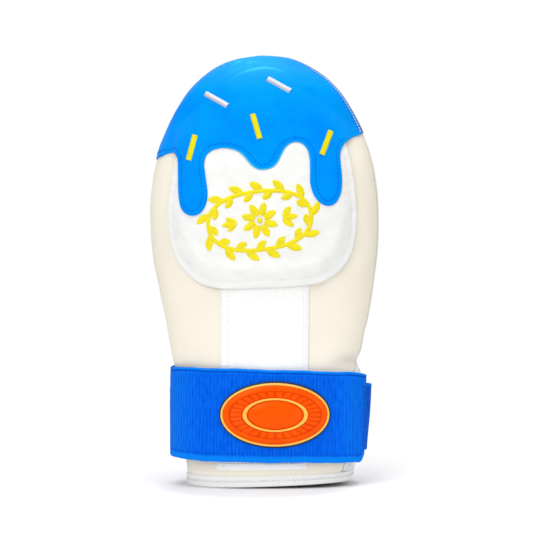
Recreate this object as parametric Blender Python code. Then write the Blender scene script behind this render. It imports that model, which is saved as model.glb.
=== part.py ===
"""Sliding mitt, standing on its open cuff: +Z runs from the cuff to the tip, the back of the hand faces -Y.

Sizes in the tables are millimetres. Every shell is lofted over horizontal sections of one body surface,
and the layers on the back of the hand are offset from the same sections, so they follow each other.
"""

import math

import bmesh
import bpy
import numpy as np

# ---- driving dimensions -------------------------------------------------------------------------------------------

MM = 0.001
GAP = 0.3  # between neighbouring pieces
WALL = 3.0  # foam-backed shell
ROUNDNESS = 2.3  # exponent of the sections: 2 is an ellipse
GUSSET_WALL = 1.6
STRIP_THICK = 1.0
CAP_THICK = 1.2
CAP_SEAM_THICK = 0.7  # skived thinner where it is sewn into the side seam
PAD_THICK = 5.2  # at the middle of the padded flap
PAD_FALL = 11.0  # how far outside its outline the pad's slope runs out
PAD_RISE = 9.0  # how far inside its outline the pad is full
BINDING_HIGH = 7.2
BINDING_WALL = 1.0
STRAP_THICK = 1.6
TAB_THICK = 1.5
BADGE_HALF_WIDE = 35.5
BADGE_HALF_HIGH = 21.5
BADGE_EDGE = 1.3
BADGE_CROWN = 3.4
ORIGIN_X = 0.0  # from the body's own axis to the middle of the finished mitt
ORIGIN_Y = -3.5

SEAM_SIDE = 349.6  # section angle of the right-hand seam, a little forward of the edge
GUSSET_TOP = 79.5  # height of the gusset's apex
GUSSET_APEX = 9.0  # its blunt apex runs out over this height
GUSSET_FRONT = 22.6  # degrees that the gusset opens forward at the rim
GUSSET_BACK = 40.4  # degrees that it opens backward
RIM_LIFT = 3.0  # the rim's right end rises by this much
RIM_LIFT_FROM = 40.0
RIM_LIFT_TO = 58.0

ROW_HEIGHTS = (0.0, 11.0, 22.0, 33.0, 44.0, 55.0, 65.0, 69.0, 72.0, 74.5, 76.5, 78.0, 79.5)  # rows of the grids up to the apex
ROWS_ABOVE = 18
FRONT_COLUMNS = 20
PALM_COLUMNS = 15

# ---- tables -------------------------------------------------------------------------------------------------------

# Horizontal sections of the shell's outer surface.
# name, height, left, right, front depth, back depth
BODY = (
    ("rim", 1.3, -49.6, 57.0, 28.8, 27.0),
    ("cuff", 15.0, -51.8, 60.1, 29.0, 27.5),
    ("wrist", 45.0, -55.5, 62.5, 29.2, 28.0),
    ("strap_top", 72.0, -58.7, 63.4, 28.8, 28.0),
    ("heel", 92.0, -62.1, 64.6, 29.4, 28.3),
    ("hand_1", 112.0, -66.2, 69.1, 31.0, 29.0),
    ("hand_2", 130.0, -70.0, 72.1, 32.6, 29.7),
    ("hand_3", 148.0, -73.6, 74.5, 33.8, 30.2),
    ("knuckles", 170.0, -75.2, 75.4, 34.2, 30.2),
    ("finger_1", 190.0, -74.6, 74.6, 33.4, 29.2),
    ("finger_2", 208.0, -71.8, 71.8, 31.9, 27.7),
    ("finger_3", 222.0, -67.9, 67.8, 29.9, 25.9),
    ("finger_4", 235.0, -62.5, 62.4, 27.2, 23.8),
    ("finger_5", 248.0, -55.9, 55.3, 23.6, 20.8),
    ("finger_6", 259.0, -48.0, 47.1, 19.4, 17.2),
    ("finger_7", 267.0, -40.0, 38.7, 15.4, 13.6),
    ("finger_8", 273.6, -30.6, 28.5, 10.8, 9.6),
    ("finger_9", 278.1, -19.2, 18.0, 6.4, 5.8),
    ("tip", 280.2, 0.6, 0.6, 0.0, 0.0),
)

# Outline of the padded flap, seen from the front, anticlockwise from the lower left.
# name, x, height
PAD = (
    ("left_low", -57.9, 151.8),
    ("left_corner", -55.3, 145.8),
    ("left_heel", -51.3, 140.2),
    ("heel_left", -41.3, 131.6),
    ("bottom_left", -28.6, 128.4),
    ("bottom", -9.0, 128.5),
    ("bottom_right", 24.2, 130.2),
    ("heel_right", 35.2, 131.8),
    ("right_heel", 45.7, 137.6),
    ("right_low", 54.2, 148.0),
    ("right_mid", 57.8, 159.4),
    ("right", 59.0, 171.5),
    ("right_high", 57.8, 192.0),
    ("shoulder_right", 52.9, 219.0),
    ("crown_right", 42.0, 244.5),
    ("top_right", 24.0, 263.6),
    ("top", 3.0, 270.6),
    ("top_left", -19.0, 266.6),
    ("crown_left", -38.0, 250.8),
    ("shoulder_left", -52.5, 225.5),
    ("left_high", -58.8, 200.0),
    ("left", -61.6, 176.0),
    ("left_mid", -60.8, 163.0),
)

# Lower edge of the cap, from left to right: three drips and the arches between them.
# name, x, height
DRIPS = (
    ("side_left", -84.0, 207.2),
    ("hem_left", -69.5, 212.9),
    ("arch_0", -61.4, 215.6),
    ("drip_1_in", -55.0, 211.6),
    ("drip_1_left", -54.1, 197.6),
    ("drip_1_low_left", -51.5, 179.2),
    ("drip_1_tip", -44.4, 174.8),
    ("drip_1_low_right", -36.2, 182.6),
    ("drip_1_right", -37.1, 202.9),
    ("arch_1_left", -36.0, 212.5),
    ("arch_1", -24.2, 217.1),
    ("arch_1_right", -13.0, 212.1),
    ("drip_2_left", -6.4, 205.0),
    ("drip_2_tip", 1.0, 203.7),
    ("drip_2_right", 8.8, 208.9),
    ("arch_2_left", 13.5, 217.7),
    ("arch_2", 20.5, 220.8),
    ("arch_2_right", 27.0, 215.5),
    ("drip_3_left", 28.4, 198.1),
    ("drip_3_low_left", 32.6, 184.8),
    ("drip_3_tip", 40.0, 180.9),
    ("drip_3_low_right", 46.6, 186.9),
    ("drip_3_right", 47.9, 203.0),
    ("arch_3", 49.5, 219.4),
    ("hem_right", 58.3, 226.7),
    ("side_right", 84.0, 237.8),
)

# Sides of the elastic strip.
# name, height, left, right
STRIP = (
    ("foot", 11.0, -30.9, 27.1),
    ("wrist", 78.0, -28.4, 28.2),
    ("under_pad", 135.0, -28.2, 28.6),
)

# Inner face of the strap, in plan, from its free end round the front, the left and the back.
# name, x, y, lower edge, upper edge, lean of the upper edge to the right
STRAP = (
    ("free_end", 64.2, -11.0, 19.8, 71.6, 1.2),
    ("corner", 62.0, -14.8, 15.4, 72.6, 0.7),
    ("front_right", 57.6, -19.8, 15.3, 73.6, 0.3),
    ("front_mid_right", 38.0, -28.0, 16.0, 74.7, 0.0),
    ("front", 4.0, -31.4, 16.4, 75.9, 0.0),
    ("front_mid_left", -30.0, -28.8, 16.9, 76.8, 0.0),
    ("front_left", -48.9, -21.6, 17.3, 77.0, 0.0),
    ("left_forward", -57.8, -11.6, 17.9, 76.6, 0.0),
    ("left", -60.4, 0.0, 18.7, 76.4, 0.0),
    ("left_backward", -57.9, 11.0, 20.0, 77.0, 0.0),
    ("back_left", -47.0, 21.8, 20.6, 77.6, 0.0),
    ("back_mid_left", -25.0, 28.0, 21.0, 78.0, 0.0),
    ("back", 4.0, 29.8, 21.0, 77.6, 0.0),
    ("back_mid_right", 30.0, 27.6, 20.4, 76.8, 0.0),
    ("tucked_end", 47.0, 22.4, 20.0, 76.0, 0.0),
)

# Inner face of the hook tab, in plan: from under the strap's free end round the right side to the back.
# name, x, y, lower edge, upper edge, lean of the upper edge to the right
TAB = (
    ("root", 55.4, -18.6, 21.8, 65.2, 0.2),
    ("under_end", 61.6, -11.2, 21.8, 65.2, 1.2),
    ("side_front", 65.4, -4.0, 21.8, 65.2, 3.0),
    ("side", 65.8, 4.0, 22.0, 65.0, 3.6),
    ("side_back", 62.8, 13.4, 22.4, 64.6, 2.0),
    ("back_right", 54.2, 21.4, 23.0, 64.0, 0.6),
    ("back", 42.0, 27.4, 23.4, 63.6, 0.0),
    ("tongue", 26.0, 31.2, 23.8, 63.2, 0.0),
)

# name, colour (sRGB, 0 to 255), roughness, metallic
FINISH = (
    ("front_panel", (250, 241, 226), 0.62, 0.0),
    ("palm_panel", (250, 241, 226), 0.62, 0.0),
    ("side_gusset", (236, 238, 240), 0.85, 0.0),
    ("hand_pad", (246, 247, 244), 0.80, 0.0),
    ("fingertip_cap", (4, 158, 253), 0.45, 0.0),
    ("centre_strip", (253, 253, 251), 0.85, 0.0),
    ("cuff_binding", (236, 235, 229), 0.85, 0.0),
    ("wrist_strap", (8, 100, 232), 0.75, 0.0),
    ("strap_tab", (10, 92, 214), 0.80, 0.0),
    ("strap_badge", (252, 92, 6), 0.28, 0.0),
)


# ---- smooth curves through table rows -----------------------------------------------------------------------------


def knots_of(points):
    """Distance along the rows, as the curve's parameter."""
    steps = np.linalg.norm(np.diff(points, axis=0), axis=1)
    return np.concatenate([[0.0], np.cumsum(steps)])


def smooth(knots, rows, at):
    """A smooth curve through rows at knots: its values and slopes at the parameters given."""
    knots, rows, at = np.asarray(knots, float), np.asarray(rows, float), np.asarray(at, float)
    h = np.diff(knots)
    chord = np.diff(rows, axis=0) / h[:, None]
    slope = np.empty_like(rows)
    slope[1:-1] = (chord[:-1] * h[1:, None] + chord[1:] * h[:-1, None]) / (h[1:] + h[:-1])[:, None]
    slope[0], slope[-1] = chord[0], chord[-1]
    i = np.clip(np.searchsorted(knots, at, side="right") - 1, 0, len(h) - 1)
    hi = h[i][..., None]
    t = (at - knots[i])[..., None] / hi
    a, b, ma, mb = rows[i], rows[i + 1], slope[i] * hi, slope[i + 1] * hi
    value = (2 * t**3 - 3 * t**2 + 1) * a + (t**3 - 2 * t**2 + t) * ma + (3 * t**2 - 2 * t**3) * b + (t**3 - t**2) * mb
    rate = ((6 * t**2 - 6 * t) * (a - b) + (3 * t**2 - 4 * t + 1) * ma + (3 * t**2 - 2 * t) * mb) / hi
    return value, rate


def closed_curve(points, count):
    """count points along a smooth closed curve through the points."""
    points = np.asarray(points, float)
    ring = np.concatenate([points[-3:], points, points[:3]])
    k = knots_of(ring)
    at = np.linspace(k[3], k[3 + len(points)], count, endpoint=False)
    return smooth(k, ring, at)[0]


def open_curve(points, count):
    points = np.asarray(points, float)
    k = knots_of(points)
    return smooth(k, points, np.linspace(0, k[-1], count))[0]


# ---- the body surface ---------------------------------------------------------------------------------------------


def body_table():
    rows = [(z, (left + right) / 2, (right - left) / 2, front, back) for _, z, left, right, front, back in BODY]
    z, c, a, f, b = rows[-2]
    rows.append((z, 2 * rows[-1][1] - c, -a, -f, -b))  # past the tip the surface comes down the other side
    rows = np.array(rows)
    return knots_of(rows[:, [0, 2]]), rows


KNOTS, ROWS = body_table()
TIP = KNOTS[-2]


def eased(x):
    x = np.clip(x, 0.0, 1.0)
    return x * x * (3 - 2 * x)


def at_height(z):
    """The body parameter at a height below the tip."""
    fine = np.linspace(0, TIP, 2000)
    return float(np.interp(z, smooth(KNOTS, ROWS, fine)[0][:, 0], fine))


def body(angle, s):
    """Points and outward normals of the shell's outer surface: angle in degrees round the section, 180 at the left,
    270 at the front, 360 at the right; s along the body from the rim to the tip."""
    angle, s = np.broadcast_arrays(np.asarray(angle, float), np.asarray(s, float))
    value, rate = smooth(KNOTS, ROWS, s)
    z, c, a, f, b = np.moveaxis(value, -1, 0)
    zs, cs, as_, fs, bs = np.moveaxis(rate, -1, 0)
    cos, sin = np.cos(np.radians(angle)), np.sin(np.radians(angle))
    X = np.sign(cos) * np.abs(cos) ** (2 / ROUNDNESS)
    Y = np.sign(sin) * np.abs(sin) ** (2 / ROUNDNESS)
    d, ds = np.where(Y < 0, f, b), np.where(Y < 0, fs, bs)
    x, y = c + a * X, d * Y
    fx = np.sign(X) * np.abs(X) ** (ROUNDNESS - 1) * d
    fy = np.sign(Y) * np.abs(Y) ** (ROUNDNESS - 1) * a
    n = np.stack([fx * zs, fy * zs, -(fx * (cs + as_ * X) + fy * ds * Y)], axis=-1)
    size = np.linalg.norm(n, axis=-1, keepdims=True)
    n = np.where(size > 1e-6, n / np.maximum(size, 1e-6), np.array([0.0, 0.0, 1.0]))
    lift = RIM_LIFT * eased((x - RIM_LIFT_FROM) / (RIM_LIFT_TO - RIM_LIFT_FROM)) * np.clip(1 - z / 15.0, 0, 1)
    return np.stack([x, y, z + lift], axis=-1), n


def opening(z):
    """How far the gusset is open at a height: 0 at its apex, 1 at the rim."""
    return 0.68 * eased((GUSSET_TOP - z) / GUSSET_APEX) + 0.32 * np.clip(1 - z / GUSSET_TOP, 0, 1)


def seam_front(z):
    return SEAM_SIDE - GUSSET_FRONT * opening(z)


def seam_back(z):
    return SEAM_SIDE + GUSSET_BACK * opening(z)


def inside_by(points, outline):
    """Distance of each (x, z) from a closed outline, positive inside it."""
    p = np.asarray(points, float)[..., None, :]
    a, b = outline, np.roll(outline, -1, axis=0)
    ab = b - a
    t = np.clip(((p - a) * ab).sum(-1) / (ab * ab).sum(-1), 0, 1)
    near = np.linalg.norm(p - (a + ab * t[..., None]), axis=-1).min(-1)
    px, pz = p[..., 0], p[..., 1]
    crosses = (a[:, 1] > pz) != (b[:, 1] > pz)
    rise = np.where(np.abs(ab[:, 1]) < 1e-12, 1e-12, ab[:, 1])
    left_of = px < ab[:, 0] * (pz - a[:, 1]) / rise + a[:, 0]
    inside = (crosses & left_of).sum(-1) % 2 == 1
    return np.where(inside, near, -near)


PAD_LINE = closed_curve([row[1:] for row in PAD], 72)


def pad_height(p):
    """The pad's top above the shell: full inside its outline, running out past it."""
    return PAD_THICK * eased((inside_by(p[..., [0, 2]], PAD_LINE) + PAD_FALL) / (PAD_FALL + PAD_RISE))


def pad_foot(p):
    """The pad's underside above the shell: it lies on the strip near its lower edge."""
    return GAP + (STRIP_THICK + GAP) * eased((152.0 - p[..., 2]) / 12.0)


# ---- mesh building ------------------------------------------------------------------------------------------------


def start_scene():
    for obj in list(bpy.data.objects):
        bpy.data.objects.remove(obj, do_unlink=True)
    parts = bpy.data.collections.new("sliding_mitt")
    cutters = bpy.data.collections.new("cutters")
    cutters.hide_render = True
    for collection in (parts, cutters):
        bpy.context.scene.collection.children.link(collection)
    origin = bpy.data.objects.new("mitt_origin", None)
    origin.location = (-ORIGIN_X * MM, -ORIGIN_Y * MM, 0)
    parts.objects.link(origin)
    return parts, cutters, origin


def linear(colour):
    return [((c / 255 + 0.055) / 1.055) ** 2.4 if c > 10 else c / 255 / 12.92 for c in colour] + [1.0]


def material_for(name):
    colour, roughness, metallic = {row[0]: row[1:] for row in FINISH}[name]
    material = bpy.data.materials.new(name)
    material.use_nodes = True
    shader = material.node_tree.nodes["Principled BSDF"]
    shader.inputs["Base Color"].default_value = linear(colour)
    shader.inputs["Roughness"].default_value = roughness
    shader.inputs["Metallic"].default_value = metallic
    return material


def add_object(name, bm, collection, finish=None):
    mesh = bpy.data.meshes.new(name)
    bm.to_mesh(mesh)
    bm.free()
    obj = bpy.data.objects.new(name, mesh)
    collection.objects.link(obj)
    obj.parent = ORIGIN
    if finish:
        mesh.materials.append(material_for(finish))
        mesh.shade_smooth()
        mesh.set_sharp_from_angle(angle=math.radians(50))
    else:
        obj.hide_render = True
        obj.display_type = "WIRE"
    return obj


def loft(name, outer, inner, pole=False, ring=False, collection=None):
    """A closed shell between two grids of points (rows by columns). With pole, the last row is one point.
    With ring, the last column joins the first."""
    bm = bmesh.new()
    rows, columns = outer.shape[:2]

    def grid(points):
        made = []
        for r in range(rows):
            if pole and r == rows - 1:
                made.append([bm.verts.new(points[r, 0] * MM)] * columns)
            else:
                made.append([bm.verts.new(p * MM) for p in points[r]])
        return made

    def face(*corners):
        kept = [v for i, v in enumerate(corners) if v is not corners[i - 1]]
        if len(kept) == 4:  # both skins are split along the same diagonal, so layers stay parallel
            bm.faces.new((kept[0], kept[1], kept[2]))
            bm.faces.new((kept[0], kept[2], kept[3]))
        elif len(kept) == 3:
            bm.faces.new(kept)

    o, i = grid(outer), grid(inner)
    spans = [(c, (c + 1) % columns) for c in range(columns if ring else columns - 1)]
    for r in range(rows - 1):
        for c, d in spans:
            face(o[r][c], o[r][d], o[r + 1][d], o[r + 1][c])
            face(i[r + 1][d], i[r][d], i[r][c], i[r + 1][c])
    for c, d in spans:
        face(o[0][d], o[0][c], i[0][c], i[0][d])
        if not pole:
            face(o[-1][c], o[-1][d], i[-1][d], i[-1][c])
    if not ring:
        for r in range(rows - 1):
            face(o[r + 1][-1], o[r][-1], i[r][-1], i[r + 1][-1])
            face(o[r][0], o[r + 1][0], i[r + 1][0], i[r][0])
    return add_object(name, bm, collection or PARTS, name)


def prism(name, outline, front, back):
    """A cutter: an outline in x and z, run along y."""
    bm = bmesh.new()
    face = bm.faces.new([bm.verts.new((x * MM, front * MM, z * MM)) for x, z in outline])
    run = bmesh.ops.extrude_face_region(bm, geom=[face])
    bmesh.ops.translate(bm, verts=[v for v in run["geom"] if isinstance(v, bmesh.types.BMVert)], vec=(0, (back - front) * MM, 0))
    bmesh.ops.recalc_face_normals(bm, faces=bm.faces)
    return add_object(name, bm, CUTTERS)


def cut(obj, cutter, operation):
    modifier = obj.modifiers.new(operation.lower(), "BOOLEAN")
    modifier.operation = operation
    modifier.object = cutter
    modifier.solver = "EXACT"


# ---- the pieces ---------------------------------------------------------------------------------------------------


def row_places():
    """The rows of the panels' grids, closer together where the gusset runs out to its apex."""
    low = [at_height(z) if z > BODY[0][1] else 0.0 for z in ROW_HEIGHTS]
    return np.concatenate([low, np.linspace(low[-1], TIP, ROWS_ABOVE)[1:]])[:, None]


def front_grid():
    """The grid of the back-of-hand side, from the left seam to the right one; every layer there is built on it."""
    s = row_places()
    z = smooth(KNOTS, ROWS, s[:, 0])[0][:, 0][:, None]
    share = np.linspace(0, 1, FRONT_COLUMNS + 1)[None, :]
    angle = 180 + (seam_front(z) - 180) * share
    p, n = body(angle, s)
    p[..., 1] -= GAP / 2
    return p, n


def make_panels():
    p, n = front_grid()
    loft("front_panel", p, p - n * WALL, pole=True)
    s = row_places()
    z = smooth(KNOTS, ROWS, s[:, 0])[0][:, 0][:, None]
    share = np.linspace(0, 1, PALM_COLUMNS + 1)[None, :]
    p, n = body(seam_back(z) + (540 - seam_back(z)) * share, s)
    p[..., 1] += GAP / 2
    loft("palm_panel", p, p - n * WALL, pole=True)


def make_gusset():
    s = row_places()[: len(ROW_HEIGHTS) - 1]
    z = smooth(KNOTS, ROWS, s[:, 0])[0][:, 0][:, None]
    share = np.linspace(0, 1, 8)[None, :]
    low, high = seam_front(z) + 1.0, seam_back(z) - 1.0
    p, n = body(low + (high - low) * share, s)
    p = p - n * 0.5  # stretched between the panels, so a little inside their faces
    loft("side_gusset", p, p - n * GUSSET_WALL)


def make_hand_layers():
    p, n = front_grid()
    height = p[:, FRONT_COLUMNS // 2, 2]

    rows = height > 118.0
    q, m = p[rows], n[rows]
    foot = pad_foot(q)
    top = np.maximum(pad_height(q) + GAP, foot + GAP)
    pad = loft("hand_pad", q + m * top[..., None], q + m * foot[..., None], pole=True)
    cut(pad, prism("pad_outline", PAD_LINE, -80, -0.5), "INTERSECT")

    rows = height > 160.0
    q, m = p[rows], n[rows]
    low = GAP + pad_height(q) + GAP * eased((inside_by(q[..., [0, 2]], PAD_LINE) + PAD_FALL) / 3.0)
    share = np.linspace(0, 1, FRONT_COLUMNS + 1)[None, :]
    thick = CAP_SEAM_THICK + (CAP_THICK - CAP_SEAM_THICK) * eased(np.minimum(share, 1 - share) / 0.1)
    cap = loft("fingertip_cap", q + m * (low + thick)[..., None], q + m * low[..., None], pole=True)
    edge = open_curve([row[1:] for row in DRIPS], 76)
    region = np.concatenate([edge, [[95.0, 310.0], [-95.0, 310.0]]])
    cut(cap, prism("drip_outline", region, -80, 10), "INTERSECT")

    rows = height < 148.0
    inner = slice(3, FRONT_COLUMNS - 2)
    q, m = p[rows, inner], n[rows, inner]
    strip = loft("centre_strip", q + m * (GAP + STRIP_THICK), q + m * GAP)
    sides = np.array([row[1:] for row in STRIP])
    outline = np.concatenate([sides[:, [1, 0]], sides[::-1][:, [2, 0]]])
    cut(strip, prism("strip_outline", outline, -80, -0.5), "INTERSECT")


def make_binding():
    """The folded binding: a U-shaped section round the rim, flat where the mitt stands on it."""
    room = GAP * 1.5
    out, into = room + BINDING_WALL, WALL + room
    # offset from the shell's outer face, height, height of the section that it follows
    profile = (
        (out, 0.9, 1.3), (out, BINDING_HIGH, BINDING_HIGH), (room, BINDING_HIGH, BINDING_HIGH), (room, 1.0, 1.3),
        (-into, 1.0, 1.3), (-into, BINDING_HIGH, BINDING_HIGH),
        (-into - BINDING_WALL, BINDING_HIGH, BINDING_HIGH), (-into - BINDING_WALL, 0.0, 1.3), (out - 0.9, 0.0, 1.3),
    )
    bm = bmesh.new()
    rings = []
    for offset, z, follows in profile:
        front, back = float(seam_front(follows)), float(seam_back(follows))
        angle = np.concatenate([
            np.linspace(180, front, FRONT_COLUMNS, endpoint=False),
            np.linspace(front, back, 8, endpoint=False),
            np.linspace(back, 540, PALM_COLUMNS, endpoint=False),
        ])
        p, n = body(angle, at_height(follows))
        flat = n * [1, 1, 0]
        q = p + flat / np.linalg.norm(flat, axis=1, keepdims=True) * offset
        q[:, 2] += z - follows
        rings.append([bm.verts.new(v * MM) for v in q])
    count = len(rings[0])
    for a, b in zip(rings, rings[1:] + rings[:1]):
        for c in range(count):
            d = (c + 1) % count
            bm.faces.new((a[c], a[d], b[d], b[c]))
    bmesh.ops.recalc_face_normals(bm, faces=bm.faces)
    bmesh.ops.triangulate(bm, faces=bm.faces)
    return add_object("cuff_binding", bm, PARTS, "cuff_binding")


def band(table, count):
    """A band's inner face along its table: plan points, their outward normals, lower and upper edges, lean, and length."""
    rows = np.array([row[1:] for row in table], float)
    k = knots_of(rows[:, :2])
    value, rate = smooth(k, rows, np.linspace(0, k[-1], count))
    along = rate[:, :2] / np.linalg.norm(rate[:, :2], axis=1, keepdims=True)
    return value, np.stack([-along[:, 1], along[:, 0]], axis=1), k[-1]


def make_band(name, table, count, thick, sense):
    """A ruled band; sense is 1 where its table runs clockwise, seen from above, and -1 the other way."""
    value, normal, _ = band(table, count)
    grids = []
    for offset in (thick, 0.0):
        grid = np.empty((2, count, 3))
        for r, edge in ((0, 2), (1, 3)):
            grid[r, :, :2] = value[:, :2] + sense * normal * offset
            grid[r, :, 0] += value[:, 4] * r
            grid[r, :, 2] = value[:, edge]
        grids.append(grid[:, ::-1] if sense > 0 else grid)  # columns run anticlockwise, so that faces point out
    return loft(name, *grids)


def make_badge():
    """An oval moulded badge, bent round the front of the strap."""
    rows = np.array([row[1:] for row in STRAP], float)
    k = knots_of(rows[:, :2])
    fine = np.linspace(0, k[-1], 400)
    value, rate = smooth(k, rows, fine)
    middle = float(np.interp(-6.8, -value[:200, 0], fine[:200]))
    turns, rings = 32, (0.0, 0.3, 0.6, 0.84, 1.0)
    bm = bmesh.new()

    def at(share, turn, offset):
        along = middle - share * BADGE_HALF_WIDE * math.cos(turn)
        v, r = smooth(k, rows, np.array([along]))
        t = r[0, :2] / np.linalg.norm(r[0, :2])
        x, y = v[0, :2] + np.array([-t[1], t[0]]) * offset
        return bm.verts.new((x * MM, y * MM, (47.2 + share * BADGE_HALF_HIGH * math.sin(turn)) * MM))

    def skin(height):
        made = [[at(0.0, 0.0, height(0.0))]]
        for share in rings[1:]:
            made.append([at(share, 2 * math.pi * i / turns, height(share)) for i in range(turns)])
        return made

    foot = STRAP_THICK + GAP
    top = skin(lambda share: foot + BADGE_EDGE + (BADGE_CROWN - BADGE_EDGE) * (1 - share**3))
    under = skin(lambda share: foot)
    for made, turn in ((top, 1), (under, -1)):
        for i in range(turns):
            j = (i + 1) % turns
            bm.faces.new((made[0][0], made[1][i], made[1][j])[::turn])
            for a, b in zip(made[1:], made[2:]):
                bm.faces.new((a[i], b[i], b[j], a[j])[::turn])
    for i in range(turns):
        j = (i + 1) % turns
        bm.faces.new((top[-1][i], under[-1][i], under[-1][j], top[-1][j]))
    bmesh.ops.recalc_face_normals(bm, faces=bm.faces)
    bmesh.ops.triangulate(bm, faces=bm.faces)
    return add_object("strap_badge", bm, PARTS, "strap_badge")


PARTS, CUTTERS, ORIGIN = start_scene()
make_panels()
make_gusset()
make_hand_layers()
make_binding()
make_band("wrist_strap", STRAP, 44, STRAP_THICK, 1)
make_band("strap_tab", TAB, 15, TAB_THICK, -1)
make_badge()
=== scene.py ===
"""Looks of the sliding mitt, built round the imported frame.

Sizes in the tables are millimetres, in the body's own frame; SHIFT takes them to the finished mitt's frame.
"""

import math

import bmesh
import bpy
import numpy as np
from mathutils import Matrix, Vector, kdtree
from mathutils.bvhtree import BVHTree
from mathutils.geometry import delaunay_2d_cdt


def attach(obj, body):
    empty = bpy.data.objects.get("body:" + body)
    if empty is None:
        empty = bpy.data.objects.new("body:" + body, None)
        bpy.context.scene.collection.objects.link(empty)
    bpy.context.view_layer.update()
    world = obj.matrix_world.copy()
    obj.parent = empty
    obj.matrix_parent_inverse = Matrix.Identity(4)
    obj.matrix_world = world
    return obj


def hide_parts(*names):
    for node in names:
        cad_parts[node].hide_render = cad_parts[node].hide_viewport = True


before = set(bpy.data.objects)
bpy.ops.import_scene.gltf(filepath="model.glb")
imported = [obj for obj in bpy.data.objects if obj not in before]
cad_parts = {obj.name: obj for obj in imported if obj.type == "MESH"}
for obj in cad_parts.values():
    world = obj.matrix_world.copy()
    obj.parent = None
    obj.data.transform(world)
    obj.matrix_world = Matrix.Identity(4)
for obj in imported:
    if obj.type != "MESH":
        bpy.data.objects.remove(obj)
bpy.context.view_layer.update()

# ---- driving dimensions -------------------------------------------------------------------------------------------

MM = 0.001
SHIFT = np.array([0.0, 3.5, 0.8])
FLOOR = -0.8
LIGHT = 1.14  # how much light a fully lit surface gets; the colours below are as seen, and are divided by it

GAP = 0.3
WALL = 3.0
ROUNDNESS = 2.3
GUSSET_WALL = 1.6
STRIP_THICK = 1.0
CAP_THICK = 1.1
PAD_THICK = 5.0
PAD_ROLL = 1.6  # radius of the flap's rolled edge
PAD_EDGE_HIGH = 0.9  # height of the outermost point of that edge
PAD_SEAM = 5.0  # how far inside its edge the flap is stitched
CAP_SEAM = 2.75
STRAP_THICK = 1.6
RIB = 2.35  # pitch of the strap's ribs
TAB_THICK = 1.5
BADGE_X = 6.8
BADGE_Z = 47.2
BADGE_HALF_WIDE = 35.5
BADGE_HALF_HIGH = 21.5

SEAM_SIDE = 349.6
SEAM_SHADE = 2.4  # painted shade: how far from a seam the leather is drawn darker, as the seam's hollow would shade it
SEAM_DRIFT = 2.9  # how far the right seam moves back beside the cap, in degrees
GUSSET_TOP = 79.5
GUSSET_FRONT = 22.6
GUSSET_BACK = 40.4
GUSSET_APEX = 9.0  # height over which the wrist's V opens below its apex
SEAM_DIP = 0.9  # the shells roll inward at their seams
SEAM_DIP_REACH = 2.6

# ---- tables -------------------------------------------------------------------------------------------------------

# name, height, left, right, front depth, back depth
BODY = (
    ("rim", 1.3, -49.6, 57.0, 28.8, 27.0),
    ("cuff", 15.0, -51.8, 60.1, 29.0, 27.5),
    ("wrist", 45.0, -55.5, 62.5, 29.2, 28.0),
    ("strap_top", 72.0, -58.7, 63.4, 28.8, 28.0),
    ("heel", 92.0, -62.1, 64.6, 29.4, 28.3),
    ("hand_1", 112.0, -66.2, 69.1, 31.0, 29.0),
    ("hand_2", 130.0, -70.0, 72.1, 32.6, 29.7),
    ("hand_3", 148.0, -73.6, 74.5, 33.8, 30.2),
    ("knuckles", 170.0, -75.2, 75.4, 34.2, 30.2),
    ("finger_1", 190.0, -74.6, 74.6, 33.4, 29.2),
    ("finger_2", 208.0, -71.8, 71.8, 31.9, 27.7),
    ("finger_3", 222.0, -67.9, 67.8, 29.9, 25.9),
    ("finger_4", 235.0, -62.5, 62.4, 27.2, 23.8),
    ("finger_5", 248.0, -55.9, 55.3, 23.6, 20.8),
    ("finger_6", 259.0, -48.0, 47.1, 19.4, 17.2),
    ("finger_7", 267.0, -40.0, 38.7, 15.4, 13.6),
    ("finger_8", 273.6, -30.6, 28.5, 10.8, 9.6),
    ("finger_9", 278.1, -19.2, 18.0, 6.4, 5.8),
    ("tip", 280.2, 0.6, 0.6, 0.0, 0.0),
)

# name, x, height
PAD = (
    ("left_low", -57.9, 151.8),
    ("left_corner", -55.3, 145.8),
    ("left_heel", -51.3, 140.2),
    ("heel_left", -41.3, 131.6),
    ("bottom_left", -28.6, 128.4),
    ("bottom", -9.0, 128.5),
    ("bottom_right", 24.2, 130.2),
    ("heel_right", 35.2, 131.8),
    ("right_heel", 45.7, 137.6),
    ("right_low", 54.2, 148.0),
    ("right_mid", 57.8, 159.4),
    ("right", 59.0, 171.5),
    ("right_high", 57.8, 192.0),
    ("shoulder_right", 52.9, 219.0),
    ("crown_right", 42.0, 244.5),
    ("top_right", 24.0, 263.6),
    ("top", 3.0, 270.6),
    ("top_left", -19.0, 266.6),
    ("crown_left", -38.0, 250.8),
    ("shoulder_left", -52.5, 225.5),
    ("left_high", -58.8, 200.0),
    ("left", -61.6, 176.0),
    ("left_mid", -60.8, 163.0),
)

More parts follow.
